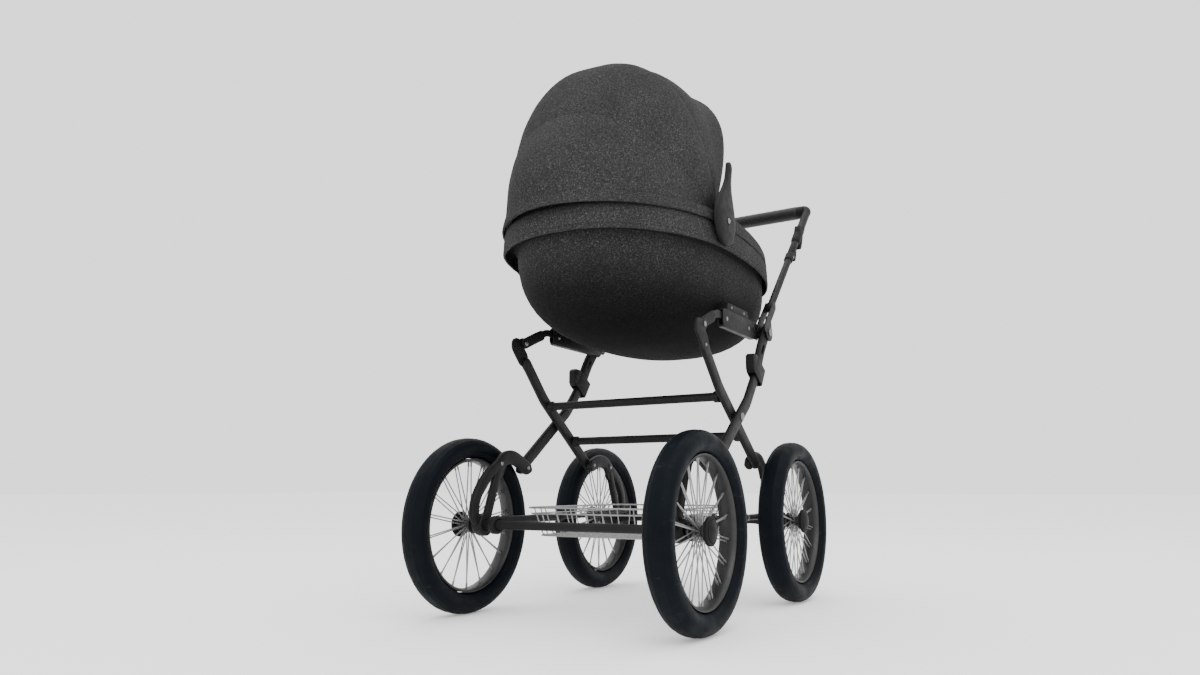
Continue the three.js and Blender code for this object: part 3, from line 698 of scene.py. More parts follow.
def make_basket():
    piece = Piece("wire_basket")
    top, middle, low = 208, 196, 152
    for z, half, reach in ((top, 168, 188), (middle, 165, 184), (low, 149, 169)):
        piece.add(wire_ring(basket_ring(half, -reach, reach, z), 1.9 if z == top else 1.5), STEEL)
    for i in range(9):
        y = -152 + 38 * i
        for sign in (-1, 1):
            side = [(sign * 168, y, top), (sign * 150, y * 0.96, low + 4), (sign * 144, y * 0.95, low)]
            piece.add(tube(side + [(0, y * 0.94, low)], 1.3, 8), STEEL)
    for i in range(8):
        x = -126 + 36 * i
        for sign in (-1, 1):
            side = [(x, sign * 188, top), (x * 0.96, sign * 170, low + 4)]
            piece.add(tube(side + [(x * 0.95, sign * 160, low), (x * 0.95, 0, low)], 1.3, 8), STEEL)
    for sign in (-1, 1):
        for y in (60, 150):
            hook = [(sign * 167, y, top), (sign * 180, y, top - 4), (sign * 186, y, 191)]
            hook += [(sign * 192, y, 186), (sign * 190, y, 179)]
            piece.add(tube(smooth_path(hook, 0.4), 1.5, 8), STEEL)
    piece.ride("undercarriage", "steel_wire", ["basket"])


def make_brake():
    piece = Piece("foot_brake")
    for x in (-60, 60):
        ring = [(8.9, -6), (14.4, -6), (15, -5), (15, 5), (14.4, 6), (8.9, 6)]
        piece.add(turned(ring, (x, AXLE_Y, WHEEL_R), 32), PLASTIC)
        arm = [(AXLE_Y + 12, WHEEL_R - 6), (AXLE_Y + 50, WHEEL_R - 24)]
        piece.add(flat_bar(arm, (x - 5, x + 5), 11), PLASTIC)
    tread = [
        (AXLE_Y + 38, WHEEL_R - 29),
        (AXLE_Y + 70, WHEEL_R - 29),
        (AXLE_Y + 72, WHEEL_R - 24),
        (AXLE_Y + 68, WHEEL_R - 22),
        (AXLE_Y + 40, WHEEL_R - 22),
    ]
    piece.add(plate(tread, (-78, 78), 1.5), PLASTIC)
    for k in range(5):
        y = AXLE_Y + 44 + 5 * k
        rib = [(-70, y, WHEEL_R - 22), (70, y, WHEEL_R - 22)]
        piece.add(tube(rib, 1.3, 8), PLASTIC)
    piece.ride("brake_pedal", "dark_plastic", ["brake_pedal"])


# ---------------------------------------------------------------- chassis
HUB_BOSS_END = 234.5


def make_bracket(end, side, sign, span, forward, leg_end, body):
    mirror = sign < 0
    knuckle = (forward * 212, 298)
    hub = (forward * AXLE_Y, WHEEL_R)
    piece = Piece(f"{end}_suspension_{side}", mirror)
    middle = (span[0] + span[1]) / 2
    thick = (span[1] - span[0]) / 2
    bow = [(middle, *knuckle), (middle + 1, forward * 254, 272), (middle + 3, forward * 284, 230)]
    bow += [(middle + 5, forward * 287, 190), (middle + 5, *hub)]
    bow = smooth_path(bow, 0.46, 9)
    piece.add(tube(bow, thick + 0.4, 20, 22 / (2 * thick), 2.8, "side"), PAINT)
    strut = [(middle, *knuckle), (middle - 0.8, *hub)]
    piece.add(tube(strut, thick - 0.3, 20, 22 / (2 * thick), 2.8, "side"), PAINT)
    arch = [(forward * 214, 294), (forward * 196, 310), (forward * 166, 314), leg_end]
    piece.add(flat_bar(arch, (span[0] + 0.4, span[1] - 0.1), 30, 0.45), PAINT)
    web = [knuckle, (forward * 190, 302), (forward * 206, 268), (forward * 228, 262)]
    piece.add(plate(web, (span[0] + 2.5, span[1] - 2.5), 2), PAINT)
    boss = [(12.5, span[0]), (20, span[0]), (22, span[0] + 2), (22.5, span[1] + 2)]
    boss += [(20, HUB_BOSS_END - 3), (18, HUB_BOSS_END), (12.5, HUB_BOSS_END)]
    piece.add(turned(boss, (0, *hub), 40), PAINT)
    for at in (knuckle, leg_end):
        piece.add(rivet(at, span[0] + 0.6, -1, 4.6, 2.4), RIVET)
    piece.ride(body, "frame_paint", [f"{end}_bracket_{side}"])


REAR_LEG_TOP = (-154, 556)
REAR_LEG_END = (134, 302)
FRONT_LEG_END = (-118, 291)


def make_rear_leg(side, mirror):
    piece = Piece(f"rear_leg_tube_{side}", mirror)
    span = (209.6, 222.4)
    leg = [(-122, 520), (-54, 446), SCISSOR_PIVOT, REAR_LEG_END]
    piece.add(flat_bar(leg, span, 27, 0.12, 3.4), PAINT)
    lap = (216.3, 222.4)
    top = [REAR_LEG_TOP, (-118, 516)]
    piece.add(flat_bar(top, (lap[0], lap[1] - 0.2), 27), PAINT)
    cap = [REAR_LEG_TOP, (-132, 532)]
    piece.add(flat_bar(cap, lap, 38, 0.3, 3.6, 28), PLASTIC)
    piece.add(flat_bar([REAR_LEG_TOP, LINK_PIN], lap, 26), PLASTIC)
    piece.add(rivet(SCISSOR_PIVOT, 236.4, 1, 8.3, 3), RIVET)
    shaft = [(0.4, 220), (5, 220), (5, 237), (0.4, 237)]
    piece.add(turned(shaft, (0, *SCISSOR_PIVOT), 20), RIVET)
    piece.add(rivet((-128, 524), 222.3, 1, 3.6, 1.6), RIVET)
    piece.ride("rear_legs", "frame_paint", [f"rear_leg_{side}"])


def cut_hole(made, outline, span):
    """Cuts a straight-sided hole across X through a finished piece."""
    cutter = Piece("cutter").add(plate(outline, span, 0.1), PAINT)
    tool = cutter.make("frame_paint")
    modifier = made.modifiers.new("hole", "BOOLEAN")
    modifier.object = tool
    modifier.solver = "EXACT"
    bpy.context.view_layer.update()
    ready = made.evaluated_get(bpy.context.evaluated_depsgraph_get())
    mesh = bpy.data.meshes.new_from_object(ready)
    made.modifiers.clear()
    made.data = mesh
    mesh.set_sharp_from_angle(angle=math.radians(38))
    bpy.data.objects.remove(tool)


def make_front_leg(side, mirror):
    span = (223.1, 235.9)
    piece = Piece(f"front_leg_tube_{side}", mirror)
    leg = [FRONT_LEG_END, SCISSOR_PIVOT, (62, 428), (118, 492)]
    piece.add(flat_bar(leg, span, 27, 0.15, 3.4), PAINT)
    piece.ride("front_legs", "frame_paint", [f"front_leg_{side}"])
    neck = Piece(f"fold_neck_{side}", mirror)
    neck.add(flat_bar([FRONT_LEG_TOP, NECK_MID, HANDLE_HINGE], (223.2, 235.8), 34), PLASTIC)
    made = neck.make("dark_plastic")
    outline = []
    for sign in (1, -1):
        reach = sign * SLOT_HALF_LENGTH
        y = NECK_MID[0] + reach * math.cos(NECK_LEAN)
        z = NECK_MID[1] + reach * math.sin(NECK_LEAN)
        start = NECK_LEAN - sign * math.pi / 2
        outline += arc((y, z), SLOT_R, start, start + math.pi, 8)
    hole = (-240, -219) if mirror else (219, 240)
    cut_hole(made, outline, hole)
    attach(made, "front_legs")
    pin = Piece(f"handle_hinge_pin_{side}", mirror)
    shaft = [(0.4, 203), (7.4, 203), (8.4, 203.9), (8.4, 205.6), (5, 205.7), (5, 240.8)]
    shaft += [(8.4, 240.9), (8.4, 242.4), (6.8, 243.6), (0.4, 243.8)]
    pin.add(turned(shaft, (0, *HANDLE_HINGE), 28), RIVET)
    pin.ride("front_legs", "frame_paint")


LINK_BEND = (-50, 603)


def link_height(y):
    return LINK_BEND[1] - 0.042 * (y - LINK_BEND[0])


def make_carrier(side, mirror):
    rail = Piece(f"carrier_rail_body_{side}", mirror)
    outline = [(-30, 586), (-27, 580), (-20, 577), (150, 577), (176, 583), (188, 583)]
    outline += arc(HANDLE_HINGE, 15, -math.pi / 2 + 0.2, math.pi / 2, 10)
    outline += [(172, 614), (160, 617.5), (-22, 617.5), (-28, 615), (-30, 610)]
    rail.add(plate(outline, (217.0, 219), 0.8), PAINT)
    rail.add(plate(outline, (206, 208.2), 0.8), PAINT)
    floor = [(-28, 577.5), (150, 577.5), (150, 582), (-28, 582)]
    rail.add(plate(floor, (207.8, 217.4), 0.5), PAINT)
    roof = [(-26, 614), (160, 614), (160, 617.3), (-26, 617.3)]
    rail.add(plate(roof, (207.8, 217.4), 0.5), PAINT)
    for y in (-8, 117):
        rail.add(rivet((y, 597), 218.8, 1, 5, 0.4), RIVET)
        rail.add(rivet((y, 597), 206.2, -1, 5, 2.2), RIVET)
    rail.ride("carrier_rails", "frame_paint", [f"carrier_rail_{side}"])
    link = Piece(f"link_bar_{side}", mirror)
    bar = [LINK_PIN, LINK_BEND, (122, link_height(122))]
    link.add(flat_bar(bar, (209.7, 215.3), 16, 0.12, 5), PAINT)
    knuckle = [LINK_PIN, (-98, 581), (-72, 592)]
    link.add(flat_bar(knuckle, (209.5, 215.5), 24, 0.3, 4), PLASTIC)
    shaft = [(0.4, 214), (5, 214), (5, 222.9), (5.4, 222.9), (5.6, 223.6), (4, 224.6), (0.4, 224.8)]
    link.add(turned(shaft, (0, *LINK_PIN), 28), RIVET)
    link.add(rivet(LINK_PIN, 209.8, -1, 6, 2.4), RIVET)
    link.ride("sliding_links", "frame_paint", [f"sliding_link_{side}"])


def make_lock_collar(side, mirror):
    c, d = math.cos(COLLAR_ANGLE), math.sin(COLLAR_ANGLE)

    def place(s, n):
        return (COLLAR_CENTRE[0] + s * c - n * d, COLLAR_CENTRE[1] + s * d + n * c)

    piece = Piece(f"fold_lock_{side}", mirror)
    shell = [place(*p) for p in ((-22, -24), (-18, -25), (22, -25), (23, 22), (-22, 26))]
    piece.add(plate(shell, (236.6, 239.7), 1.2), PLASTIC)
    piece.add(plate(shell, (219.6, 222.4), 1.2), PLASTIC)
    back = [place(*p) for p in ((-22, -25), (22, -25), (22, -21.6), (-22, -21.6))]
    piece.add(plate(back, (221, 238.5), 0.8), PLASTIC)
    front = [place(*p) for p in ((-22, 21.7), (23, 21.7), (24, 26), (13, 45), (4, 48), (-20, 32))]
    piece.add(plate(front, (219.9, 239.4), 2.2), PLASTIC)
    made = piece.make("dark_plastic", [f"lock_collar_{side}"])
    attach(made, f"lock_collar_{side}")


def make_chassis():
    for side, sign in SIDES:
        mirror = sign < 0
        make_bracket("front", side, sign, (208.5, 222.4), -1, FRONT_LEG_END, "front_legs")
        make_bracket("rear", side, sign, (195.1, 209), 1, REAR_LEG_END, "rear_legs")
        make_rear_leg(side, mirror)
        make_front_leg(side, mirror)
        make_carrier(side, mirror)
        make_lock_collar(side, mirror)
    for name, (y, z) in (("upper", (-39, 431)), ("lower", (66, 357))):
        bar = tube([(-208.6, y, z), (208.6, y, z)], 9, 24, end="flat")
        ends = [(9.2, 196), (12, 200), (12, 209.2), (0.4, 209.2), (0.4, 196)]
        piece = Piece(f"{name}_cross_tube").add(bar, PAINT)
        piece.add(turned(ends, (0, y, z), 32), PAINT)
        piece.add(turned(ends, (0, y, z), 32), PAINT, True)
        piece.ride("rear_legs", "frame_paint", [f"{name}_crossbar"])


# ---------------------------------------------------------------- handle
HANDLE_X = 230
HANDLE_FOOT = (176, 611)
HANDLE_ANGLE = math.radians(45.2)
HANDLE_LENGTH = 545
LOWER_TUBE_END = 312


def on_handle(s, n=0):
    c, d = math.cos(HANDLE_ANGLE), math.sin(HANDLE_ANGLE)
    return (HANDLE_FOOT[0] + s * c - n * d, HANDLE_FOOT[1] + s * d + n * c)


def handle_tube(stations, sides=24, end="flat"):
    """A round tube on the handle's line from (distance, radius) stations."""
    path = [(HANDLE_X, *on_handle(s)) for s, _ in stations]
    return tube(path, [r for _, r in stations], sides, end=end)


def make_handle_side(side, mirror):
    piece = Piece(f"handle_tube_{side}", mirror)
    for span in ((219.7, 222.5), (236.7, 240.3)):
        piece.add(flat_bar([on_handle(-8), on_handle(76)], span, 22, 0.3, 5), PAINT)
        piece.add(plate(circle(HANDLE_HINGE, 20), span, 0.8), PAINT)
        rear = [HANDLE_HINGE, on_handle(14, -4)]
        piece.add(flat_bar(rear, span, 36, 0.3, 5), PAINT)
    piece.add(flat_bar([on_handle(72), on_handle(79)], (219.9, 240.1), 21, 0.3, 3), PAINT)
    end = LOWER_TUBE_END
    piece.add(handle_tube([(74, 10.5), (84, 8.9), (96, 8.5), (end - 30, 8.5)]), PAINT)
    collar = [(end - 30, 8.6), (end - 27, 11.2), (end - 2, 11.5), (end + 1, 10.6), (end + 2, 8)]
    piece.add(handle_tube(collar), PLASTIC)
    piece.add(rivet(on_handle(end - 14), 241.2, 1, 3.4, 1.6), RIVET)
    piece.ride("handle_sides", "frame_paint", [f"handle_side_{side}"])


def make_handle_bow():
    piece = Piece("handle_loop")
    end = LOWER_TUBE_END
    for mirror in (False, True):
        piece.add(handle_tube([(190, 6.1), (end + 14, 6.1)]), STEEL, mirror)
        hook = [(end + 3, 8.6), (end + 5, 9.5), (end + 58, 9.5), (end + 60, 8.4), (end + 62, 8.4)]
        piece.add(handle_tube(hook), PLASTIC, mirror)
        sleeve = [(end + 61, 8.6), (end + 63, 10.5), (end + 70, 12.2), (end + 122, 12.5)]
        sleeve += [(end + 127, 11.5), (end + 128, 10)]
        piece.add(handle_tube(sleeve), PLASTIC, mirror)
        ring = [(end + 128, 10.6), (end + 130, 11.6), (end + 137, 11.6), (end + 139, 10.6)]
        piece.add(handle_tube(ring), PAINT, mirror)
        bump = [on_handle(end + 96, 9), on_handle(end + 124, 9), on_handle(end + 126, 14)]
        bump += [on_handle(end + 121, 18), on_handle(end + 112, 17)]
        piece.add(plate(bump, (222, 238), 2), PLASTIC, mirror)
        corner = Vector((HANDLE_X, *on_handle(HANDLE_LENGTH)))
        low = Vector((HANDLE_X, *on_handle(end + 136)))
        elbow = smooth_path([low, corner, corner - Vector((30, 0, 0))], 0.26, 10)
        radii = [10.4 + 7 * max(0, (i - 2) / (len(elbow) - 3)) for i in range(len(elbow))]
        piece.add(tube(elbow, radii, 28, end="flat"), PAINT, mirror)
        for s in (end + 24, end + 76):
            piece.add(rivet(on_handle(s, -3), 239.6, 1, 3, 1.4), RIVET, mirror)
    piece.ride("handle_bow", "frame_paint", ["handle_bow"])


def make_grip():
    piece = Piece("padded_grip")
    y, z = on_handle(HANDLE_LENGTH)
    profile = [(9.4, -205), (16, -205), (17.6, -202), (18, -197)]
    for k in range(1, 40):
        x = -197 + 394 * k / 40
        profile.append((18 - 0.25 * (k % 2), x))
    profile += [(18, 197), (17.6, 202), (16, 205), (9.4, 205)]
    piece.add(turned(profile, (0, y, z), 48), LEATHER)
    seam = [(x, y + 12.8, z - 12.8) for x in range(-198, 199, 6)]
    piece.add(tube(seam, 0.9, 8), LEATHER)
    piece.ride("handle_bow", "grip_leather", ["handle_grip"])


def make_handle_controls(side, mirror):
    top = LOWER_TUBE_END + 124
    lever = Piece(f"height_lever_grip_{side}", mirror)
    outline = [(0, -13.2), (-2, -17), (-20, -25), (-38, -30), (-46, -30), (-51, -27), (-50, -20)]
    outline += [(-36, -17), (-20, -13.5)]
    points = [on_handle(top + s, n) for s, n in outline]
    lever.add(plate(points, (224, 236), 2.2), PLASTIC)
    lever.ride(f"height_lever_{side}", "dark_plastic", [f"height_lever_{side}"])
    top = LOWER_TUBE_END + 50
    trigger = Piece(f"release_hook_{side}", mirror)
    outline = [(0, -10.3), (-3, -14), (-20, -21), (-34, -26), (-40, -25), (-42, -22), (-34, -14)]
    outline += [(-30, -10.4)]
    points = [on_handle(top + s, n) for s, n in outline]
    trigger.add(plate(points, (225, 235), 2), PLASTIC)
    trigger.ride(f"release_trigger_{side}", "dark_plastic", [f"release_trigger_{side}"])


def make_handle():
    for side, sign in SIDES:
        make_handle_side(side, sign < 0)
        make_handle_controls(side, sign < 0)
    make_handle_bow()
    make_grip()


# ---------------------------------------------------------------- carrycot
TUB = {"y": 20, "z": 735, "depth": 190, "half": 218, "front": 342, "rear": 438}
TUB_POWERS = (2.3, 2.5)
VALANCE = {"y": -20, "half": 248, "front": 325, "rear": 492}
VALANCE_POWERS = (2.2, 2.25)


def plan_point(size, powers, angle, scale=1.0, inset=0.0):
    c, s = math.cos(angle), math.sin(angle)
    power = 2 / (powers[0] if s < 0 else powers[1])
    reach = (size["front"] if s < 0 else size["rear"]) * scale - inset
    x = (size["half"] * scale - inset) * signed_power(c, power)
    y = size["y"] + reach * signed_power(s, power)
    return x, y


def even_angles(size, powers, count):
    """Angles that put points evenly round the plan outline."""
    fine = 2000
    angles = [2 * math.pi * k / fine for k in range(fine + 1)]
    points = [Vector(plan_point(size, powers, a)) for a in angles]
    return evenly_spaced(angles, points, count)


def tub_scale(fall):
    return (1 - fall**2.45) ** (1 / 2.45)


def wrinkle(point, scale, height, seed=0.0):
    return height * noise.fractal(Vector(point) / scale + Vector((seed, seed, seed)), 1.0, 2.0, 3)


def make_tub():
    angles = even_angles(TUB, TUB_POWERS, 120)

    def ring(fall, inset):
        z = TUB["z"] - TUB["depth"] * fall + (inset * 0.8 if fall > 0.8 else 0)
        out = []
        for a in angles:
            x, y = plan_point(TUB, TUB_POWERS, a, tub_scale(fall), inset)
            swell = wrinkle((x, y, z), 130, 1.6, 5) if inset < 1 else 0
            out.append(Vector((x, y, z)) + Vector((x, y - TUB["y"], 0)).normalized() * swell)
        return out

    falls = [0.995, 0.985, 0.965, 0.94, 0.91, 0.87, 0.82, 0.76, 0.69, 0.61, 0.53, 0.44, 0.35]
    falls += [0.26, 0.18, 0.10, 0.03, 0]
    shell = Piece("tub_cover")
    outer = [ring(f, 0) for f in falls]
    inner = [ring(f, 3) for f in falls[::-1]]
    shell.add(closed_stack(outer + inner), TUB_FABRIC_PAINTED_SHADE)
    shell.ride("carrycot", "tub_fabric", ["carrycot_tub"], 60)
    lining = Piece("tub_lining")
    falls = [0, 0.05, 0.15, 0.3, 0.45, 0.6, 0.72, 0.8, 0.86, 0.9]
    inside = [ring(f, 9) for f in falls]
    middle = [ring(f, 4) for f in falls[::-1]]
    lining.add(closed_stack(middle + inside), LINING)
    lining.ride("carrycot", "tub_fabric", (), 60)


def make_mattress():
    size = {"y": 40, "half": 126, "front": 216, "rear": 246}
    angles = even_angles(size, TUB_POWERS, 72)
    levels = [(573, 0.5), (573.5, 0.9), (577, 0.97), (585, 1), (603, 1), (611, 0.97), (614, 0.9)]
    levels += [(615, 0.6), (615.5, 0.25)]
    rings = []
    for z, scale in levels:
        rings.append([Vector((*plan_point(size, TUB_POWERS, a, scale), z)) for a in angles])
    piece = Piece("quilted_mattress").add(closed_stack(rings), COTTON)
    piece.ride("carrycot", "padding", ["mattress"], 60)


WALL_FOOT = 787


def wall_height(y, z):
    """The valance's inner wall, lowered to stay under the front bow when the hood is folded."""
    if z <= WALL_FOOT:
        return z
    bow = HOOD_CENTRE[1] + (HOOD_CENTRE[0] - y) * math.tan(FOLDED_FRONT_BOW) - BOW_CLEARANCE
    return min(z, max(WALL_FOOT + (z - WALL_FOOT) * 0.1, bow))


def cloth_band(levels, size, powers, count, thickness, flutter, seed):
    """A closed ring of cloth: levels are (height, outset) up its outer face."""
    angles = even_angles(size, powers, count)
    rings = []
    for a in angles:
        outer = []
        inner = []
        for z, outset in levels:
            x, y = plan_point(size, powers, a)
            away = Vector((x, y - size["y"], 0)).normalized()
            drop = (levels[-1][0] - z) / (levels[-1][0] - levels[0][0])
            wave = wrinkle((x, y, z * 0.3), 75, flutter * drop, seed)
            at = Vector((x, y, wall_height(y, z))) + away * (outset + wave)
            outer.append(at)
            inner.append(at - away * thickness)
        rings.append(outer + inner[::-1])
    return closed_loop(rings)


def make_valance():
    levels = [(729.6, -2.2), (730.4, 0), (733, 0.7), (738, 0.3), (741, -0.5), (744, 0), (752, 0)]
    levels += [(760, -0.4), (768, -1.2), (776, -3), (783, -7), (787, -12), (793, -15), (806, -17)]
    surface = cloth_band(levels, VALANCE, VALANCE_POWERS, 220, 2.2, 1.6, 3)
    piece = Piece("carrycot_valance").add(surface, FABRIC)
    stitches = stitch_line(738, 0.6, VALANCE, VALANCE_POWERS)
    for stitch in stitches:
        piece.add(stitch, PIPING)
    made = piece.ride("carrycot", "melange_fabric", ["valance"], 60)


def make_rim():
    """The board inside the valance that joins it to the tub's rim."""
    tub_angles = even_angles(TUB, TUB_POWERS, 140)
    rim_angles = even_angles(VALANCE, VALANCE_POWERS, 140)
    rings = []
    for i in range(140):
        x, y = plan_point(TUB, TUB_POWERS, tub_angles[i], 1.0, 1.0)
        low = Vector((x, y, 734))
        x, y = plan_point(VALANCE, VALANCE_POWERS, rim_angles[i], 1.0, 12)
        high = Vector((x, y, 764))
        slope = (high - low) * 0.5 + Vector((0, 0, -6))
        outer = [low, low + slope, high]
        rings.append(outer + [p + Vector((0, 0, 5)) for p in outer[::-1]])
    piece = Piece("carrycot_rim_board").add(closed_loop(rings), LINING)
    piece.ride("carrycot", "tub_fabric", (), 60)


def stitch_line(z, outset, size, powers, count=300):
    """Short threads round the hem."""
    angles = even_angles(size, powers, count)
    threads = []
    for i in range(0, count, 2):
        ends = []
        for a in (angles[i], angles[(i + 1) % count]):
            x, y = plan_point(size, powers, a)
            away = Vector((x, y - size["y"], 0)).normalized()
            wave = wrinkle((x, y, z * 0.3), 75, 1.6 * 0.85, 3)
            ends.append(Vector((x, y, z)) + away * (outset + wave))
        ends[1] = ends[0] + (ends[1] - ends[0]) * 0.7
        threads.append(tube(ends, 0.35, 5, end="flat"))
    return threads


APRON_LOW = 777
APRON_HEIGHT = 75
APRON_RECESS = 54


def apron_point(x, y, inset, seed):
    """The apron's dome over the carrycot's plan, at a place in plan."""
    power = VALANCE_POWERS[1]
    across = abs(x) / VALANCE["half"]
    along = (y - VALANCE["y"]) / VALANCE["rear"]
    out = min((across**power + max(along, 0) ** power) ** (1 / power), 1)
    z = APRON_LOW + (APRON_HEIGHT - inset) * (1 - out**3) ** (1 / 3)
    soft = wrinkle((x, y, z), 110, 3.2 * (1 - out), seed)
    return Vector((x * (1 - inset / 250), y - inset * max(along, 0), z + soft))


def make_apron():
    """The foot cover: cloth over the foot end, with wings forward to the hood's hinges."""
    angles = even_angles(VALANCE, VALANCE_POWERS, 260)
    keep = [a for a in angles if plan_point(VALANCE, VALANCE_POWERS, a)[1] >= VALANCE["y"] - 1]
    keep = sorted(keep, key=lambda a: -math.cos(a))
    scales = [1, 0.993, 0.98, 0.96, 0.93, 0.89, 0.84, 0.78, 0.7, 0.61, 0.5, 0.38, 0.25, 0.12, 0.02]
    outer_rows = []
    inner_rows = []
    for scale in scales:
        outer = []
        inner = []
        for a in keep:
            edge_x, edge_y = plan_point(VALANCE, VALANCE_POWERS, a)
            x = edge_x * scale
            y = VALANCE["y"] + (edge_y - VALANCE["y"]) * scale
            fade = min(max((y - VALANCE["y"]) / 170, 0), 1)
            recess = APRON_RECESS * (1 - (x / VALANCE["half"]) ** 2)
            y += recess * (1 - fade * fade * (3 - 2 * fade))
            outer.append(apron_point(x, y, 1.0, 9))
            inner.append(apron_point(x, y, 5.5, 9))
        outer_rows.append(outer)
        inner_rows.append(inner)
    surface = shell_surface(outer_rows, inner_rows)
    piece = Piece("foot_apron").add(surface, FABRIC)
    edge = [row_points[-1] for row_points in outer_rows] + [r[0] for r in outer_rows[::-1]]
    piece.add(tube([p + Vector((0, 0, -1)) for p in edge], 3.0, 10), FABRIC)
    made = piece.ride("carrycot", "melange_fabric", ["apron"], 60)


def make_adaptors():
    for side, sign in SIDES:
        piece = Piece(f"cot_adaptor_{side}")
        outline = [(-8, 618), (118, 618), (118, 622), (112, 633), (100, 634), (10, 634), (-2, 632)]
        piece.add(plate(outline, (190, 218.6), 1.6), PLASTIC, sign < 0)
        for y in (20, 90):
            piece.add(rivet((y, 626), 218.4, 1, 3.2, 0.5), RIVET, sign < 0)
        piece.ride("carrycot", "dark_plastic", [f"carrycot_adaptor_{side}"])


# ---------------------------------------------------------------- hood
REACH = ((0, 291), (20, 297), (45, 321), (70, 373), (95, 393), (119, 462))
HALF = ((0, 243), (20, 226), (60, 233), (95, 226), (119, 214))


def smooth_curve(stops, x):
    """A smooth curve through the stops (Catmull-Rom with uneven spacing)."""
    i = max(k for k in range(len(stops) - 1) if stops[k][0] <= max(x, 0))
    (x0, y0), (x1, y1) = stops[i], stops[i + 1]

    def slope(k):
        a, b = stops[max(k - 1, 0)], stops[min(k + 1, len(stops) - 1)]
        return (b[1] - a[1]) / (b[0] - a[0])

    t = (x - x0) / (x1 - x0)
    width = x1 - x0
    value = (2 * t**3 - 3 * t**2 + 1) * y0 + (t**3 - 2 * t**2 + t) * width * slope(i)
    return value + (-2 * t**3 + 3 * t**2) * y1 + (t**3 - t**2) * width * slope(i + 1)


def hood_point(angle, t, inset=0.0):
    degrees = min(math.degrees(angle), 118.999)
    reach = smooth_curve(REACH, degrees) - inset
    half = smooth_curve(HALF, degrees) - inset
    power = 2 / (1.83 + 0.9 * angle / HOOD_OPENING)
    r = reach * abs(math.sin(t)) ** power
    x = half * signed_power(math.cos(t), power)
    return Vector((x, HOOD_CENTRE[0] - r * math.cos(angle), HOOD_CENTRE[1] + r * math.sin(angle)))


def arch_start(angle, distance):
    reach = smooth_curve(REACH, min(math.degrees(angle), 118.999))
    power = 2 / (1.83 + 0.9 * angle / HOOD_OPENING)
    return math.asin((distance / reach) ** (1 / power))


ARCH_STEPS = 96
ARCH_FOOT = 34


def arch_parameters(angle):
    """Parameters that space points evenly along the arch."""
    start = arch_start(angle, ARCH_FOOT)
    fine = 600
    ts = [start + (math.pi - 2 * start) * k / fine for k in range(fine + 1)]
    points = [hood_point(angle, t) for t in ts]
    return evenly_spaced(ts, points, ARCH_STEPS) + [ts[-1]]


def panel_surface(low, high, swells, seed):
    """One closed panel of the hood between two seams, puffed between them."""
    rows = 22
    outer = []
    inner = []
    for i in range(rows + 1):
        u = i / rows
        angle = low + (high - low) * u
        ts = arch_parameters(angle)
        arch_outer = []
        arch_inner = []
        for k, t in enumerate(ts):
            v = k / ARCH_STEPS
            crown = math.sin(math.pi * v) ** 0.9
            at = hood_point(angle, t)
            out = (at - Vector((0, HOOD_CENTRE[0], HOOD_CENTRE[1]))).normalized()
            swell = smooth_curve(swells, u) * crown - 0.3
            crease = wrinkle((at.x, at.y, at.z), 105, 3.4, seed) * crown * (1 - abs(2 * u - 1) ** 3)
            arch_outer.append(at + out * (swell + crease))
            arch_inner.append(at + out * (swell * 0.6 + crease - 2.6))
        outer.append(arch_outer)
        inner.append(arch_inner)
    return shell_surface(outer, inner)


def blend_across(made):
    """Bakes the panel's transform into its mesh."""
    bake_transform(made)


# How far each hood panel swells out, from its lower seam to its upper one.
PANEL_SWELLS = (
    ((0, 0), (0.2, 5), (0.5, 8), (0.82, 5.5), (1, 0)),
    ((0, 0), (0.18, 6), (0.5, 9), (0.82, 6), (1, 0)),
    ((0, 0), (0.15, 4), (0.35, 3), (0.6, -7), (0.78, -5), (0.93, 4), (1, 0)),
)


def make_hood_panels():
    edges = [0.0] + BOW_ANGLES
    names = ["hood_head_panel", "hood_crown_panel", "hood_brow_panel"]
    for i, name in enumerate(names):
        low, high = edges[i], edges[i + 1]
        piece = Piece(name).add(panel_surface(low, high, PANEL_SWELLS[i], 11 + 7 * i), FABRIC)
        made = piece.make("melange_fabric", ["canopy"] if i == 0 else [], 60)
        blend_across(made)


def arch_tube(angle, radius, inset, sides=10, foot_extra=0):
    ts = arch_parameters(angle)[foot_extra : ARCH_STEPS + 1 - foot_extra]
    return tube([hood_point(angle, t, inset) for t in ts], radius, sides)


def make_bows():
    names = ["hood_front_bow", "hood_middle_bow", "hood_opening_bow"]
    for name, angle in zip(names, BOW_ANGLES):
        rod = Piece(f"{name}_rod")
        rod.add(arch_tube(angle, 3.2, 9, 12, 2), RIM_BLACK)
        rod.ride(name, "steel_wire", [name])
        seam = Piece(f"{name}_piping")
        seam.add(arch_tube(angle, 1.6, 0.9, 8), FABRIC)
        seam.ride(name, "melange_fabric")


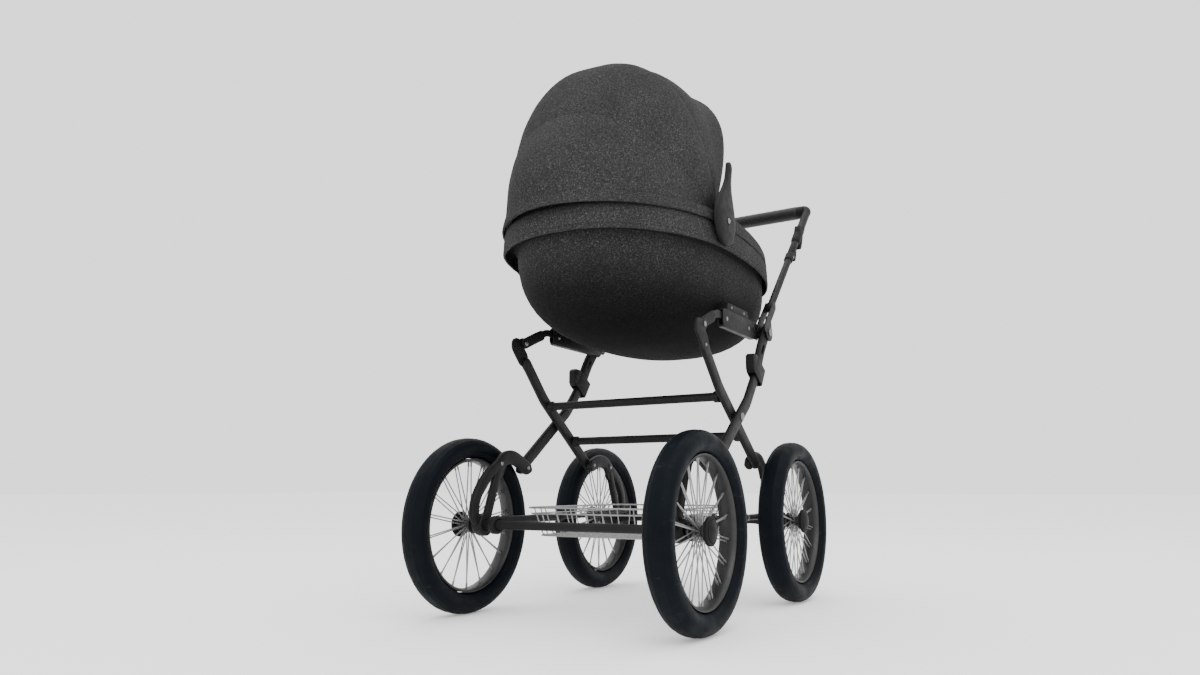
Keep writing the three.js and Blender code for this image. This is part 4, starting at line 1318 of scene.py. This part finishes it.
def make_hood_hem():
    """The hem band along the hood's lower edge, which stays with the carrycot."""
    angles = [math.pi + math.pi * k / 160 for k in range(161)]
    levels = [(-3, 2.2), (-2.2, 3.6), (0, 3.8), (5, 2.9), (6.5, 2.3), (8, 2.5), (14, 1.2), (20, -0.6)]
    outer = []
    inner = []
    for height, outset in levels:
        line_out = []
        line_in = []
        for a in angles:
            power = 2 / 1.9
            c, s = math.cos(a), math.sin(a)
            x = 243 * signed_power(c, power)
            y = HOOD_CENTRE[0] + 291 * signed_power(s, power)
            away = Vector((x, y - HOOD_CENTRE[0], 0)).normalized()
            wave = wrinkle((x, y, 0), 80, 1.2, 21)
            at = Vector((x, y, HOOD_CENTRE[1] + height))
            line_out.append(at + away * (outset + wave))
            line_in.append(at + away * (outset + wave - 2.5))
        outer.append(line_out)
        inner.append(line_in)
    surface = shell_surface(outer, inner)
    piece = Piece("hood_hem").add(surface, FABRIC)
    made = piece.ride("carrycot", "melange_fabric", (), 60)


PLATE_TIP = (-56, 907)
PLATE_ROOT_R = 50
PLATE_TIP_R = 13


def plate_half_width(along, reach):
    """The plate's half width at a distance along it, from its round root to its tip."""
    if along < 0:
        return math.sqrt(max(PLATE_ROOT_R**2 - along**2, 1))
    if along > reach:
        return math.sqrt(max(PLATE_TIP_R**2 - (along - reach) ** 2, 1))
    fade = math.cos(math.pi * min(along, 112) / 112) / 2 + 0.5
    return PLATE_TIP_R + (PLATE_ROOT_R - PLATE_TIP_R) * fade**1.05


def domed_plate(x, scale, height):
    """A plate standing out from a side face, domed across its width."""
    dy, dz = PLATE_TIP[0] - HOOD_PIVOT[0], PLATE_TIP[1] - HOOD_PIVOT[1]
    reach = math.hypot(dy, dz)
    along_y, along_z = dy / reach, dz / reach
    stations = [-PLATE_ROOT_R * math.cos(math.pi * k / 26) for k in range(14)]
    stations += [reach * k / 22 for k in range(1, 23)]
    stations += [reach + PLATE_TIP_R * math.sin(math.pi * k / 14) for k in range(1, 8)]
    rings = []
    for along in stations:
        half = plate_half_width(along, reach) * scale
        rise = height * (0.35 + 0.65 * half / PLATE_ROOT_R) * min(1, (half / 5) ** 0.5)
        ring = []
        for k in range(24):
            angle = 2 * math.pi * k / 24
            across = half * math.cos(angle)
            out = rise * max(math.sin(angle), 0) ** 0.62
            y = HOOD_PIVOT[0] + along * scale * along_y - across * along_z
            z = HOOD_PIVOT[1] + along * scale * along_z + across * along_y
            ring.append(Vector((x + out + (-1.5 if math.sin(angle) < -0.01 else 0), y, z)))
        rings.append(ring)
    return closed_stack(rings)


def make_hinge_plates():
    for side, sign in SIDES:
        piece = Piece(f"hood_hinge_cover_{side}", sign < 0)
        piece.add(domed_plate(250.5, 1.0, 11), PLASTIC)
        piece.add(rivet(HOOD_PIVOT, 261.2, 1, 6, 2.2), RIVET)
        ring = [(7, 260.6), (9, 260.6), (9.6, 261.4), (9, 262), (7, 262)]
        piece.add(turned(ring, (0, *HOOD_PIVOT), 28), PLASTIC)
        piece.ride("hood_opening_bow", "dark_plastic", [f"hood_hinge_plate_{side}"], 50)


make_camera()
make_world()
make_floor()
area_light("key", (2.2, -2.4, 3.4), (0, 0, 0.8), 2.5, 60)
area_light("top", (0, 0, 4.2), (0, 0, 0.5), 3.0, 60)
make_wheels()
make_axles()
make_side_bars()
make_basket()
make_brake()
make_chassis()
make_handle()
make_tub()
make_mattress()
make_rim()
make_valance()
make_apron()
make_adaptors()
make_hood_panels()
make_bows()
make_hood_hem()
make_hinge_plates()
